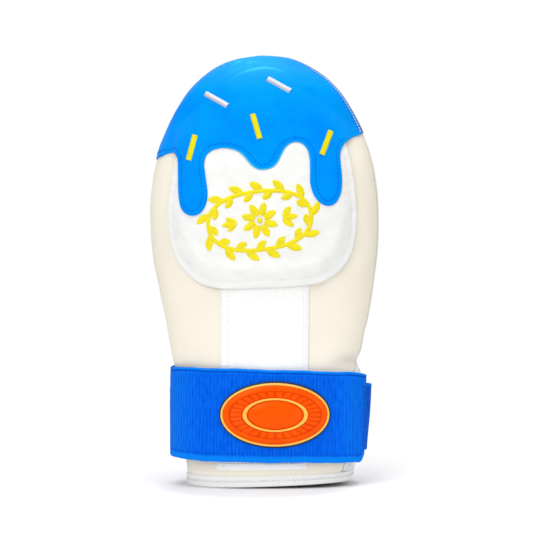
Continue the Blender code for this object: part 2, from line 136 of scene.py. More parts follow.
# The dripping edge from the left side seam to the right one.
# name, then x and height of its points
DRIPS = (
    ("hem_left", (-66.7, 214.0), (-63.3, 215.3), (-59.1, 215.9)),
    ("drip_1_left", (-56.9, 214.9), (-55.3, 212.8), (-54.5, 209.5), (-54.3, 203.9),
                    (-54.1, 197.6), (-53.7, 189.7), (-53.0, 184.2)),
    ("drip_1_tip", (-51.7, 179.5), (-49.6, 176.7), (-46.7, 175.0), (-43.4, 174.7),
                   (-40.3, 176.0), (-37.9, 178.6), (-36.3, 182.0)),
    ("drip_1_right", (-35.5, 186.0), (-35.4, 189.8), (-36.1, 195.7), (-36.9, 201.3),
                     (-37.4, 206.0), (-37.1, 209.9), (-35.8, 213.0)),
    ("arch_1", (-33.3, 215.4), (-29.4, 216.8), (-24.7, 217.2), (-20.0, 216.5), (-16.1, 214.7), (-13.0, 212.1)),
    ("drip_2", (-9.8, 208.1), (-7.7, 205.9), (-5.3, 204.2), (-2.5, 203.5), (0.6, 203.6),
               (3.2, 204.1), (5.5, 205.2), (7.4, 207.0), (8.9, 209.0), (10.3, 211.9)),
    ("arch_2", (11.8, 215.0), (13.3, 217.5), (15.3, 219.4), (17.7, 220.6), (20.1, 220.9), (22.1, 220.5),
               (24.0, 219.5), (25.6, 217.9), (27.0, 215.6), (27.8, 212.9), (28.2, 209.9)),
    ("drip_3_left", (28.4, 205.0), (28.4, 200.1), (28.5, 195.1), (29.2, 191.8), (30.4, 188.3)),
    ("drip_3_tip", (32.1, 185.4), (34.3, 183.0), (36.7, 181.4), (39.5, 180.8),
                   (42.1, 181.3), (44.1, 182.8), (45.9, 185.3)),
    ("drip_3_right", (47.1, 188.0), (47.8, 191.0), (48.2, 194.4), (48.3, 197.9),
                     (47.9, 203.3), (47.5, 208.2), (47.3, 211.7), (47.6, 214.7)),
    ("hem_right", (48.5, 217.8), (50.0, 220.2), (52.3, 222.6), (55.0, 224.6), (58.3, 226.7)),
)
HEM_LEFT = 212.3  # where the edge meets the side seams
HEM_RIGHT = 229.6

# name, height, left, right
STRIP = (
    ("foot", 11.0, -30.9, 27.1),
    ("wrist", 78.0, -28.4, 28.2),
    ("under_pad", 135.0, -28.2, 28.6),
)

# name, x, y, lower edge, upper edge, lean of the upper edge to the right
STRAP = (
    ("free_end", 64.2, -11.0, 19.8, 71.6, 1.2),
    ("corner", 62.0, -14.8, 15.4, 72.6, 0.7),
    ("front_right", 57.6, -19.8, 15.3, 73.6, 0.3),
    ("front_mid_right", 38.0, -28.0, 16.0, 74.7, 0.0),
    ("front", 4.0, -31.4, 16.4, 75.9, 0.0),
    ("front_mid_left", -30.0, -28.8, 16.9, 76.8, 0.0),
    ("front_left", -48.9, -21.6, 17.3, 77.0, 0.0),
    ("left_forward", -57.8, -11.6, 17.9, 76.6, 0.0),
    ("left", -60.4, 0.0, 18.7, 76.4, 0.0),
    ("left_backward", -57.9, 11.0, 20.0, 77.0, 0.0),
    ("back_left", -47.0, 21.8, 20.6, 77.6, 0.0),
    ("back_mid_left", -25.0, 28.0, 21.0, 78.0, 0.0),
    ("back", 4.0, 29.8, 21.0, 77.6, 0.0),
    ("back_mid_right", 30.0, 27.6, 20.4, 76.8, 0.0),
    ("tucked_end", 47.0, 22.4, 20.0, 76.0, 0.0),
)

# name, x, y, lower edge, upper edge, lean of the upper edge to the right
TAB = (
    ("root", 55.4, -18.6, 21.8, 65.2, 0.2),
    ("under_end", 61.6, -11.2, 21.8, 65.2, 1.2),
    ("side_front", 65.4, -4.0, 21.8, 65.2, 3.0),
    ("side", 65.8, 4.0, 22.0, 65.0, 3.6),
    ("side_back", 62.8, 13.4, 22.4, 64.6, 2.0),
    ("back_right", 54.2, 21.4, 23.0, 64.0, 0.6),
    ("back", 42.0, 27.4, 23.4, 63.6, 0.0),
    ("tongue", 26.0, 31.2, 23.8, 63.2, 0.0),
)

# Satin-stitched bars on the cap.
# name, x, height, slope in degrees, colour
BARS = (
    ("bar_1", -31.0, 249.9, -31.0, "white"),
    ("bar_2", 9.4, 259.5, -29.5, "white"),
    ("bar_3", -5.3, 232.0, -74.0, "yellow"),
    ("bar_4", -46.7, 218.7, 75.4, "yellow"),
    ("bar_5", 39.8, 221.6, 69.0, "yellow"),
)
BAR_LONG = 17.2
BAR_WIDE = 3.35

WORLD_LIGHT = 0.54
FLOOR_RADIUS = 0.40  # metres
# name, place, aim, power, width, in metres and watts
LAMPS = (
    ("key", (-0.72, -1.35, 1.0), (0, 0, 0.15), 13.2, 1.2),
    ("top", (0.05, -0.24, 1.6), (0, 0, 0.0), 15.0, 1.1),
    ("fill", (1.05, -1.25, 0.35), (0, 0, 0.10), 3.8, 1.0),
)

# Colours as seen, sRGB 0 to 255.
# name, colour
SEEN = {
    "cream": (250, 243, 227),
    "cream_low": (241, 232, 212),
    "cream_seam_shade": (180, 175, 156),
    "lining": (226, 227, 226),
    "knit": (254, 254, 254),
    "knit_low": (230, 231, 231),
    "lining_low": (214, 215, 216),
    "pad": (254, 255, 252),
    "pad_low": (237, 238, 235),
    "leather": (0, 154, 250),
    "leather_low": (0, 137, 250),
    "leather_edge_and_highlight": (74, 213, 250),
    "strip": (255, 255, 253),
    "strip_low": (247, 248, 247),
    "binding": (254, 254, 250),
    "binding_low": (236, 236, 231),
    "strap": (8, 114, 246),
    "strap_low": (1, 78, 216),
    "strap_edge": (11, 139, 250),
    "strap_dark": (2, 54, 150),
    "tab": (10, 104, 232),
    "tab_low": (4, 78, 196),
    "rubber": (255, 88, 0),
    "rubber_low": (222, 48, 0),
    "gold": (255, 196, 74),
    "gold_low": (236, 158, 36),
    "navy": (12, 40, 84),
    "navy_low": (4, 24, 60),
    "white_thread": (252, 253, 253),
    "white_thread_low": (206, 210, 224),
    "golden_thread": (262, 251, 46),
    "golden_thread_low": (259, 228, 22),
    "yellow_thread": (255, 253, 12),
    "yellow_thread_low": (249, 222, 3),
    "blue_thread": (1, 84, 190),
    "blue_thread_low": (0, 48, 130),
    "cap_thread": (0, 112, 228),
    "cap_thread_low": (0, 82, 182),
    "grey_thread": (138, 130, 166),
    "grey_thread_low": (86, 80, 124),
    "light_blue_thread": (214, 238, 252),
    "light_blue_thread_low": (130, 196, 244),
}


# ---- smooth curves through table rows -----------------------------------------------------------------------------


def knots_of(points):
    steps = np.linalg.norm(np.diff(points, axis=0), axis=1)
    return np.concatenate([[0.0], np.cumsum(steps)])


def smooth(knots, rows, at):
    """A smooth curve through rows at knots: its values and slopes at the parameters given."""
    knots, rows, at = np.asarray(knots, float), np.asarray(rows, float), np.asarray(at, float)
    h = np.diff(knots)
    chord = np.diff(rows, axis=0) / h[:, None]
    slope = np.empty_like(rows)
    slope[1:-1] = (chord[:-1] * h[1:, None] + chord[1:] * h[:-1, None]) / (h[1:] + h[:-1])[:, None]
    slope[0], slope[-1] = chord[0], chord[-1]
    i = np.clip(np.searchsorted(knots, at, side="right") - 1, 0, len(h) - 1)
    hi = h[i][..., None]
    t = (at - knots[i])[..., None] / hi
    a, b, ma, mb = rows[i], rows[i + 1], slope[i] * hi, slope[i + 1] * hi
    value = (2 * t**3 - 3 * t**2 + 1) * a + (t**3 - 2 * t**2 + t) * ma + (3 * t**2 - 2 * t**3) * b + (t**3 - t**2) * mb
    rate = ((6 * t**2 - 6 * t) * (a - b) + (3 * t**2 - 4 * t + 1) * ma + (3 * t**2 - 2 * t) * mb) / hi
    return value, rate


def closed_curve(points, count):
    points = np.asarray(points, float)
    ring = np.concatenate([points[-3:], points, points[:3]])
    k = knots_of(ring)
    at = np.linspace(k[3], k[3 + len(points)], count, endpoint=False)
    return smooth(k, ring, at)[0]


def open_curve(points, count):
    points = np.asarray(points, float)
    k = knots_of(points)
    return smooth(k, points, np.linspace(0, k[-1], count))[0]


def resample(path, step=None, count=None, closed=False):
    """The path's points at equal steps along it."""
    path = np.asarray(path, float)
    if closed:
        path = np.concatenate([path, path[:1]])
    k = knots_of(path)
    if count is None:
        count = max(2, int(round(k[-1] / step)) + (0 if closed else 1))
    at = np.linspace(0, k[-1], count, endpoint=not closed)
    return np.stack([np.interp(at, k, path[:, i]) for i in range(path.shape[1])], axis=1)


def unit(v):
    return v / np.maximum(np.linalg.norm(v, axis=-1, keepdims=True), 1e-9)


def eased(x):
    x = np.clip(x, 0.0, 1.0)
    return x * x * (3 - 2 * x)


def hill(x, width):
    return np.exp(-((x / width) ** 2))


def waves(p, size, seed):
    """Smooth seeded unevenness, mostly between -1 and 1, with features of about this size."""
    rng = np.random.default_rng(seed)
    total = 0.0
    for _ in range(8):
        way = rng.normal(size=p.shape[-1])
        way /= np.linalg.norm(way)
        total = total + np.sin(p @ way * (2 * math.pi / (size * rng.uniform(0.7, 1.5))) + rng.uniform(0, 2 * math.pi))
    return total / 3.2


# ---- the body surface ---------------------------------------------------------------------------------------------


def body_table():
    rows = [(z, (left + right) / 2, (right - left) / 2, front, back) for _, z, left, right, front, back in BODY]
    z, c, a, f, b = rows[-2]
    rows.append((z, 2 * rows[-1][1] - c, -a, -f, -b))
    rows = np.array(rows)
    return knots_of(rows[:, [0, 2]]), rows


KNOTS, ROWS = body_table()
TIP = KNOTS[-2]
FINE_S = np.linspace(0, TIP, 4000)
FINE = smooth(KNOTS, ROWS, FINE_S)[0]


def z_at(s):
    return np.interp(s, FINE_S, FINE[:, 0])


def s_at(z):
    return np.interp(z, FINE[:, 0], FINE_S)


def rim_lift(x, y):
    """How high the rim stands above height 0: on the floor behind, just off it in front, and rising at the right."""
    ahead = 0.45 + 0.036 * x
    made = FLOOR + eased((4.0 - y) / 20.0) * (ahead - FLOOR)
    made = np.maximum(made, FLOOR + 3.2 * eased((x - 20.0) / 38.0))
    return np.maximum(made, FLOOR) + 2.4 * np.clip((x - 50.0) / 9.0, 0, 1) ** 2


def body(angle, s):
    """Points and outward normals of the shell's outer surface: angle in degrees round the section, 180 at the left,
    270 at the front, 360 at the right; s along the body from the rim to the tip."""
    angle, s = np.broadcast_arrays(np.asarray(angle, float), np.asarray(s, float))
    value, rate = smooth(KNOTS, ROWS, s)
    z, c, a, f, b = np.moveaxis(value, -1, 0)
    zs, cs, as_, fs, bs = np.moveaxis(rate, -1, 0)
    cos, sin = np.cos(np.radians(angle)), np.sin(np.radians(angle))
    X = np.sign(cos) * np.abs(cos) ** (2 / ROUNDNESS)
    Y = np.sign(sin) * np.abs(sin) ** (2 / ROUNDNESS)
    d, ds = np.where(Y < 0, f, b), np.where(Y < 0, fs, bs)
    x, y = c + a * X, d * Y
    fx = np.sign(X) * np.abs(X) ** (ROUNDNESS - 1) * d
    fy = np.sign(Y) * np.abs(Y) ** (ROUNDNESS - 1) * a
    n = np.stack([fx * zs, fy * zs, -(fx * (cs + as_ * X) + fy * ds * Y)], axis=-1)
    size = np.linalg.norm(n, axis=-1, keepdims=True)
    n = np.where(size > 1e-6, n / np.maximum(size, 1e-6), np.array([0.0, 0.0, 1.0]))
    return np.stack([x, y, z + rim_lift(x, y) * np.clip(1 - z / 20.0, 0, 1)], axis=-1), n


def opening(z):
    """How far the wrist's V is open at this height: 0 at its apex, 1 at the rim."""
    return 0.68 * eased((GUSSET_TOP - z) / GUSSET_APEX) + 0.32 * np.clip(1 - z / GUSSET_TOP, 0, 1)


def seam_side(z):
    return SEAM_SIDE + SEAM_DRIFT * eased((z - 222.0) / 16.0)


def seam_front(z):
    return seam_side(z) - GUSSET_FRONT * opening(z)


def seam_back(z):
    return seam_side(z) + GUSSET_BACK * opening(z)


def front(share, s):
    """The back-of-hand side's outer surface: share runs from the left seam, 0, to the right one, 1."""
    z = z_at(s)
    p, n = body(180 + (seam_front(z) - 180) * share, s)
    return p - np.array([0, GAP / 2, 0]), n


def palm(share, s):
    """The palm side's outer surface: share runs from the right seam to the left one."""
    z = z_at(s)
    p, n = body(seam_back(z) + (540 - seam_back(z)) * share, s)
    return p + np.array([0, GAP / 2, 0]), n


def spans(side):
    s = np.linspace(0, TIP, 300)
    p = side(np.linspace(0, 1, 241)[None, :], s[:, None])[0]
    return s, np.linalg.norm(np.diff(p, axis=1), axis=-1).sum(1)


FRONT_SPANS, PALM_SPANS = spans(front), spans(palm)


def span(s, side=FRONT_SPANS):
    return np.interp(s, *side)


def place(x, z):
    """share and s of the point of the back-of-hand side seen at x and this height."""
    s = s_at(z)
    value = smooth(KNOTS, ROWS, s)[0]
    X = np.clip((x - value[..., 1]) / value[..., 2], -1, 1)
    angle = 360 - np.degrees(np.arccos(np.sign(X) * np.abs(X) ** (ROUNDNESS / 2)))
    return np.clip((angle - 180) / (seam_front(z) - 180), 0, 1), s


def flat_of(share, s):
    """The side unrolled: millimetres right of its middle, and millimetres along the body."""
    return np.stack([(share - 0.5) * span(s), s + 0 * share], axis=-1)


def unflat(q):
    s = np.clip(q[..., 1], 0, TIP)
    return np.clip(q[..., 0] / np.maximum(span(s), 1e-6) + 0.5, 0, 1), s


def dip(share, s, side=FRONT_SPANS):
    """How far the shell rolls in at its seams."""
    reach = np.minimum(share, 1 - share) * span(s, side)
    return SEAM_DIP * (1 - eased(reach / SEAM_DIP_REACH)) * eased((TIP - s) / 8.0 + 0.35)


def swell(p):
    """Softness of the shell: slow unevenness, the drawn-in end of the right seam, small folds above the strap."""
    x, z = p[..., 0], p[..., 2]
    soft = 0.26 * waves(p, 46.0, 3) + 0.09 * waves(p, 17.0, 4)
    drawn = -2.7 * hill(z - 80.2, 4.6) * eased((x - 38.0) / 24.0) - 0.5 * hill(z - 74.0, 5.0)
    folds = 0.28 * np.sin(x / 5.2 + 0.7 * np.sin(z / 9.0)) * hill(z - 84.0, 8.0) * (0.5 + 0.5 * waves(p, 30.0, 5))
    return (soft + drawn + folds) * eased((TIP - s_at(z)) / 20.0) * eased((z - 4) / 12.0)


def base_front(share, s):
    """The finished outer surface of the back-of-hand shell, on which every layer there lies."""
    p, n = front(share, s)
    return p + n * (swell(p) - dip(share, s))[..., None], n


# ---- distances in the unrolled side -------------------------------------------------------------------------------


def tree_of(points):
    tree = kdtree.KDTree(len(points))
    for i, p in enumerate(points):
        tree.insert((p[0], p[1], 0.0 if len(p) == 2 else p[2]), i)
    tree.balance()
    return tree


def distance(points, tree):
    flat = points.reshape(-1, points.shape[-1])
    made = np.array([tree.find((p[0], p[1], 0.0 if len(p) == 2 else p[2]))[2] for p in flat])
    return made.reshape(points.shape[:-1])


def inside(points, outline):
    """Whether each point lies in a closed outline."""
    made = np.zeros(len(points), bool)
    a, b = outline, np.roll(outline, -1, axis=0)
    for i in range(0, len(points), 4000):
        p = points[i : i + 4000]
        crosses = (a[None, :, 1] > p[:, None, 1]) != (b[None, :, 1] > p[:, None, 1])
        rise = np.where(np.abs(b[:, 1] - a[:, 1]) < 1e-12, 1e-12, b[:, 1] - a[:, 1])
        at = (b[:, 0] - a[:, 0]) * (p[:, None, 1] - a[None, :, 1]) / rise + a[:, 0]
        made[i : i + 4000] = (crosses & (p[:, None, 0] < at)).sum(1) % 2 == 1
    return made


def rings_in(path, distances, tree, closed=True):
    """Points at set distances to the left of a path, without those that come nearer another stretch of it."""
    along = np.roll(path, -1, axis=0) - np.roll(path, 1, axis=0)
    if not closed:
        along[0], along[-1] = path[1] - path[0], path[-1] - path[-2]
    along = unit(along)
    way = np.stack([-along[:, 1], along[:, 0]], axis=1)
    made = []
    for d in distances:
        p = path + way * d
        made.append(p[distance(p, tree) > d - 0.03])
    return np.concatenate(made)


def lattice(outline, step, tree, clear):
    """Evenly spread points inside an outline, at least clear away from it."""
    low, high = outline.min(0), outline.max(0)
    rows = np.arange(low[1], high[1], step * 0.866)
    points = []
    for i, v in enumerate(rows):
        u = np.arange(low[0] + (i % 2) * step / 2, high[0], step)
        points.append(np.stack([u, np.full_like(u, v)], axis=1))
    points = np.concatenate(points)
    points = points[inside(points, outline)]
    return points[distance(points, tree) > clear]


def fill(outline, inner):
    """Triangles over an outline and the points inside it: their corners' places and the triangles."""
    count = len(outline)
    given = np.concatenate([outline, inner])
    edges = [(i, (i + 1) % count) for i in range(count)]
    places, _, faces, _, _, _ = delaunay_2d_cdt([Vector(p) for p in given], edges, [], 1, 1e-7)
    places = np.array([tuple(p) for p in places])
    faces = np.array([f for f in faces if len(f) == 3])
    assert len(places) == len(given), (len(places), len(given))
    a, b, c = places[faces[:, 0]], places[faces[:, 1]], places[faces[:, 2]]
    area = (b[:, 0] - a[:, 0]) * (c[:, 1] - a[:, 1]) - (b[:, 1] - a[:, 1]) * (c[:, 0] - a[:, 0])
    faces[area < 0] = faces[area < 0][:, ::-1]
    return places, faces[np.abs(area) > 1e-7]


# ---- mesh building ------------------------------------------------------------------------------------------------


def quads_of(index, ring=False):
    right = np.roll(index, -1, axis=1) if ring else index[:, 1:]
    left = index if ring else index[:, :-1]
    return np.stack([left[:-1], right[:-1], right[1:], left[1:]], axis=-1).reshape(-1, 4)


def shell(outer, inner, ring=False, top=True):
    """A closed shell between two grids, rows by columns: points, quads, and 1 for each quad of the inner side."""
    rows, columns = outer.shape[:2]
    points = np.concatenate([outer.reshape(-1, 3), inner.reshape(-1, 3)])
    o = np.arange(rows * columns).reshape(rows, columns)
    i = o + rows * columns
    quads = [quads_of(o, ring), quads_of(i, ring)[:, ::-1]]
    c = np.arange(columns if ring else columns - 1)
    d = (c + 1) % columns
    quads.append(np.stack([o[0, d], o[0, c], i[0, c], i[0, d]], axis=1))
    if top:
        quads.append(np.stack([o[-1, c], o[-1, d], i[-1, d], i[-1, c]], axis=1))
    if not ring:
        quads.append(np.stack([o[1:, -1], o[:-1, -1], i[:-1, -1], i[1:, -1]], axis=1))
        quads.append(np.stack([o[:-1, 0], o[1:, 0], i[1:, 0], i[:-1, 0]], axis=1))
    within = np.concatenate([np.full(len(q), k == 1, int) for k, q in enumerate(quads)])
    return points, np.concatenate(quads), within


def make(name, points, faces, finishes, cloth=None, shade=None, kinds=None, weld=False, angle=48.0):
    """An object from numpy arrays. faces is one array or several, of quads and triangles; kinds gives each face's finish."""
    groups = [np.asarray(f) for f in (faces if isinstance(faces, (list, tuple)) else [faces])]
    mesh = bpy.data.meshes.new(name)
    mesh.vertices.add(len(points))
    mesh.vertices.foreach_set("co", ((np.asarray(points, float) + SHIFT) * MM).astype(np.float32).ravel())
    loops = np.concatenate([g.ravel() for g in groups]).astype(np.int32)
    sizes = np.concatenate([np.full(len(g), g.shape[1]) for g in groups])
    mesh.loops.add(len(loops))
    mesh.loops.foreach_set("vertex_index", loops)
    mesh.polygons.add(len(sizes))
    mesh.polygons.foreach_set("loop_start", np.concatenate([[0], np.cumsum(sizes)[:-1]]).astype(np.int32))
    finishes = finishes if isinstance(finishes, (list, tuple)) else [finishes]
    for finish in finishes:
        mesh.materials.append(finish)
    if kinds is not None:
        mesh.polygons.foreach_set("material_index", np.asarray(kinds, np.int32))
    mesh.update(calc_edges=True)
    if cloth is None:
        cloth = np.zeros((len(points), 3))
    cloth = np.concatenate([cloth, np.zeros((len(cloth), 3 - cloth.shape[1]))], axis=1)
    mesh.attributes.new("cloth", "FLOAT_VECTOR", "POINT").data.foreach_set("vector", cloth.astype(np.float32).ravel())
    shade = np.zeros(len(points)) if shade is None else np.broadcast_to(shade, (len(points),))
    mesh.attributes.new("shade", "FLOAT", "POINT").data.foreach_set("value", shade.astype(np.float32))
    if weld:
        bm = bmesh.new()
        bm.from_mesh(mesh)
        bmesh.ops.remove_doubles(bm, verts=bm.verts, dist=2e-6)
        bm.to_mesh(mesh)
        bm.free()
    mesh.validate()
    mesh.shade_smooth()
    mesh.set_sharp_from_angle(angle=math.radians(angle))
    obj = bpy.data.objects.new(name, mesh)
    bpy.context.scene.collection.objects.link(obj)
    return obj


class Skin:
    """A finished surface that stitches lie on."""

    def __init__(self, points, faces):
        self.tree = BVHTree.FromPolygons([tuple(p) for p in points], [tuple(int(i) for i in f) for f in faces])

    def near(self, points):
        flat = points.reshape(-1, 3)
        found = [self.tree.find_nearest(Vector(p)) for p in flat]
        at = np.array([tuple(f[0]) for f in found]).reshape(points.shape)
        normal = np.array([tuple(f[1]) for f in found]).reshape(points.shape)
        return at, normal

    def seen(self, xz):
        """Where points seen from the front at x and z lie on it."""
        flat = np.asarray(xz, float).reshape(-1, 2)
        at, normal = np.zeros((len(flat), 3)), np.zeros((len(flat), 3))
        for i, (x, z) in enumerate(flat):
            hit = self.tree.ray_cast(Vector((x, -200.0, z)), Vector((0, 1, 0)))
            if hit[0] is None:
                hit = self.tree.find_nearest(Vector((x, -30.0, z)))
            at[i], normal[i] = hit[0], hit[1]
        shape = np.asarray(xz).shape[:-1] + (3,)
        return at.reshape(shape), normal.reshape(shape)


class Threads:
    """Round threads along many short paths, gathered into one mesh."""

    def __init__(self):
        self.points, self.quads, self.tris, self.cloth, self.shade, self.count = [], [], [], [], [], 0

    def add(self, paths, ups, radius, sides=6, flat=1.0, shade=0.0):
        """paths is threads by stations by 3; ups says which way is out of the cloth."""
        paths = np.asarray(paths, float)
        n, m = paths.shape[:2]
        along = np.gradient(paths, axis=1)
        side = unit(np.cross(along, np.broadcast_to(ups, paths.shape)))
        up = unit(np.cross(side, along))
        turn = 2 * math.pi * np.arange(sides) / sides
        r = np.broadcast_to(radius, (n, m))[..., None, None]
        ring = paths[:, :, None] + r * (
            side[:, :, None] * np.cos(turn)[None, None, :, None] + flat * up[:, :, None] * np.sin(turn)[None, None, :, None]
        )
        index = self.count + np.arange(n * m * sides).reshape(n, m, sides)
        after = np.roll(index, -1, axis=2)
        self.quads.append(np.stack([index[:, :-1], index[:, 1:], after[:, 1:], after[:, :-1]], axis=-1).reshape(-1, 4))
        for k in range(1, sides - 1):
            self.tris.append(np.stack([index[:, 0, 0], index[:, 0, k], index[:, 0, k + 1]], axis=-1))
            self.tris.append(np.stack([index[:, -1, 0], index[:, -1, k + 1], index[:, -1, k]], axis=-1))
        self.points.append(ring.reshape(-1, 3))
        gone = np.concatenate([np.zeros((n, 1)), np.cumsum(np.linalg.norm(np.diff(paths, axis=1), axis=-1), axis=1)], axis=1)
        cloth = np.zeros((n, m, sides, 3))
        cloth[..., 0] = gone[..., None]
        cloth[..., 1] = turn
        cloth[..., 2] = np.arange(n)[:, None, None]
        self.cloth.append(cloth.reshape(-1, 3))
        shade = np.asarray(shade, float)
        shade = shade.reshape(n, -1, 1) if shade.ndim else shade
        self.shade.append(np.broadcast_to(shade, (n, m, sides)).ravel())
        self.count += n * m * sides

    def mesh(self, name, finish):
        return make(
            name, np.concatenate(self.points), [np.concatenate(self.quads), np.concatenate(self.tris)], finish,
            cloth=np.concatenate(self.cloth), shade=np.concatenate(self.shade), angle=70,
        )


def stitch_row(skin, path, pitch, length, lift, sink, start=0.0, stations=5, jitter=0.0, seed=1, across=0.0):
    """Paths of a row of straight stitches along a path on a skin, and their ups."""
    k = knots_of(path)
    rng = np.random.default_rng(seed)
    centre = np.arange(start + pitch / 2, k[-1] - length / 2, pitch)
    centre = centre + rng.normal(size=len(centre)) * jitter
    t = np.linspace(-1, 1, stations)
    at = centre[:, None] + t[None, :] * length / 2
    p = np.stack([np.interp(at, k, path[:, i]) for i in range(3)], axis=-1)
    near, normal = skin.near(p)
    if across:
        along = unit(np.gradient(near, axis=1))
        near = near + np.cross(along, normal) * (across * t)[None, :, None]
    return near + normal * (lift * (1 - t**2) - sink * t**4)[None, :, None], normal


def zigzag(skin, path, pitch, wide, lift, sink, stations=5):
    """Paths of a zigzag row: each stitch crosses from one side to the other."""
    k = knots_of(path)
    count = int(k[-1] / pitch)
    at = np.linspace(0, k[-1], count + 1)
    p = np.stack([np.interp(at, k, path[:, i]) for i in range(3)], axis=-1)
    near, normal = skin.near(p)
    along = unit(np.gradient(near, axis=0))
    side = unit(np.cross(along, normal))
    ends = near + side * (wide / 2 * np.where(np.arange(count + 1) % 2, 1.0, -1.0))[:, None]
    t = np.linspace(0, 1, stations)[None, :, None]
    p = ends[:-1, None] * (1 - t) + ends[1:, None] * t
    near, normal = skin.near(p)
    u = 2 * t - 1
    return near + normal * (lift * (1 - u**2) - sink * u**4), normal


# ---- finishes -----------------------------------------------------------------------------------------------------


def seen(name):
    """Base colour of a surface that looks like this colour when it is fully lit."""
    made = [((c / 255 + 0.055) / 1.055) ** 2.4 if c > 10 else c / 255 / 12.92 for c in SEEN[name]]
    return [c / LIGHT for c in made] + [1.0]


class Finish:
    """A node material: its colour, its unevenness and its relief all come from nodes."""

    def __init__(self, name, **sockets):
        self.material = bpy.data.materials.new(name)
        self.material.use_nodes = True
        self.tree = self.material.node_tree
        self.shader = self.tree.nodes["Principled BSDF"]
        for socket, value in sockets.items():
            self.shader.inputs[socket.replace("_", " ")].default_value = value
        self.mm = self.vector("SCALE", self.node("ShaderNodeTexCoord").outputs["Object"], scale=1000.0)
        self.cloth = self.node("ShaderNodeAttribute", attribute_name="cloth").outputs["Vector"]
        self.shade = self.node("ShaderNodeAttribute", attribute_name="shade").outputs["Fac"]

    def node(self, kind, **values):
        made = self.tree.nodes.new(kind)
        for key, value in values.items():
            setattr(made, key, value)
        return made

    def put(self, socket, value):
        if isinstance(value, bpy.types.NodeSocket):
            self.tree.links.new(value, socket)
        else:
            socket.default_value = value

    def vector(self, operation, a, b=None, scale=None):
        made = self.node("ShaderNodeVectorMath", operation=operation)
        self.put(made.inputs[0], a)
        if b is not None:
            self.put(made.inputs[1], b)
        if scale is not None:
            made.inputs["Scale"].default_value = scale
        return made.outputs[0]

    def math(self, operation, a, b=None, clamp=False):
        made = self.node("ShaderNodeMath", operation=operation, use_clamp=clamp)
        self.put(made.inputs[0], a)
        if b is not None:
            self.put(made.inputs[1], b)
        return made.outputs[0]

    def part(self, vector, axis):
        made = self.node("ShaderNodeSeparateXYZ")
        self.put(made.inputs[0], vector)
        return made.outputs[axis]

    def ribs(self, value, pitch, shift=0.0):
        """0 to 1 and back, once each pitch."""
        turns = self.math("MULTIPLY", value, 2 * math.pi / pitch)
        if not isinstance(shift, float) or shift:
            turns = self.math("ADD", turns, shift)
        return self.math("ADD", self.math("MULTIPLY", self.math("SINE", turns), 0.5), 0.5)

    def noise(self, size, detail=2.0, vector=None, rough=0.5):
        made = self.node("ShaderNodeTexNoise")
        self.put(made.inputs["Vector"], self.mm if vector is None else vector)
        made.inputs["Scale"].default_value = 1.0 / size
        made.inputs["Detail"].default_value = detail
        made.inputs["Roughness"].default_value = rough
        return made.outputs["Fac"]

    def cells(self, size, vector=None, feature="F1"):
        made = self.node("ShaderNodeTexVoronoi", feature=feature)
        self.put(made.inputs["Vector"], self.mm if vector is None else vector)
        made.inputs["Scale"].default_value = 1.0 / size
        return made.outputs["Distance"]

    def range(self, value, low, high, to_low=0.0, to_high=1.0):
        made = self.node("ShaderNodeMapRange")
        for i, v in enumerate((value, low, high, to_low, to_high)):
            self.put(made.inputs[i], v)
        return made.outputs[0]

    def mix(self, factor, a, b, kind="MIX"):
        made = self.node("ShaderNodeMix", data_type="RGBA", blend_type=kind)
        self.put(made.inputs[0], factor)
        self.put(made.inputs[6], a)
        self.put(made.inputs[7], b)
        return made.outputs[2]

    def relief(self, height, deep, normal=None):
        """Relief of this many millimetres."""
        made = self.node("ShaderNodeBump")
        made.inputs["Strength"].default_value = 1.0
        made.inputs["Distance"].default_value = deep * MM
        self.put(made.inputs["Height"], height)
        if normal is not None:
            self.put(made.inputs["Normal"], normal)
        return made.outputs[0]

    def done(self, colour, roughness, normal):
        self.put(self.shader.inputs["Base Color"], colour)
        self.put(self.shader.inputs["Roughness"], roughness)
        self.put(self.shader.inputs["Normal"], normal)
        return self.material


def smooth_leather(name, main, low, grain=0.55, deep=0.07, rough=(0.40, 0.56), cut=None, mottle=1.0, **sockets):
    f = Finish(name, **sockets)
    cells = f.cells(grain)
    fine = f.noise(grain * 0.6, 3.0)
    height = f.math("ADD", f.range(cells, 0.0, 0.6), f.math("MULTIPLY", fine, 0.5))
    slow = f.math("MULTIPLY", f.range(f.noise(30.0, 3.0), 0.36, 0.66), mottle)
    colour = f.mix(slow, seen(main), seen(low))
    colour = f.mix(f.math("MULTIPLY", f.range(cells, 0.05, 0.5, 0.22, 0.0), 0.6), colour, seen(low))
    # the shade attribute mixes in the cut colour: painted seam shade on the cream, and on the blue the arches' lighter
    # cut edge with painted highlights
    if cut:
        colour = f.mix(f.shade, colour, seen(cut))
    return f.done(colour, f.range(fine, 0.3, 0.7, *rough), f.relief(height, deep))


def woven(name, main, low, across=0.62, along=0.62, deep=0.12, rough=(0.78, 0.92), edge=None, fuzz=0.35, **sockets):
    """A plain weave: threads of both ways, seen as small bumps, with fuzz over them."""
    f = Finish(name, **sockets)
    u, v = f.part(f.cloth, 0), f.part(f.cloth, 1)
    wander = f.math("MULTIPLY", f.math("SUBTRACT", f.noise(4.0, 2.0), 0.5), 1.6)
    a = f.ribs(u, across, wander)
    b = f.ribs(v, along, wander)
    both = f.math("MULTIPLY", f.math("ABSOLUTE", f.math("SUBTRACT", a, b)), 1.0)
    fibres = f.noise(0.35, 3.0)
    height = f.math("ADD", both, f.math("MULTIPLY", fibres, fuzz))
    slow = f.range(f.noise(9.0, 3.0), 0.35, 0.7)
    weave = f.range(both, 0.0, 0.7, 0.55, 0.0)
    factor = f.math("ADD", f.math("MULTIPLY", slow, 0.35), f.math("MULTIPLY", weave, 0.8), clamp=True)
    colour = f.mix(factor, seen(main), seen(low))
    if edge:
        colour = f.mix(f.shade, colour, seen(edge))
    else:
        colour = f.mix(f.math("MULTIPLY", f.shade, 0.8), colour, seen(low))
    return f.done(colour, f.range(fibres, 0.3, 0.7, *rough), f.relief(height, deep))


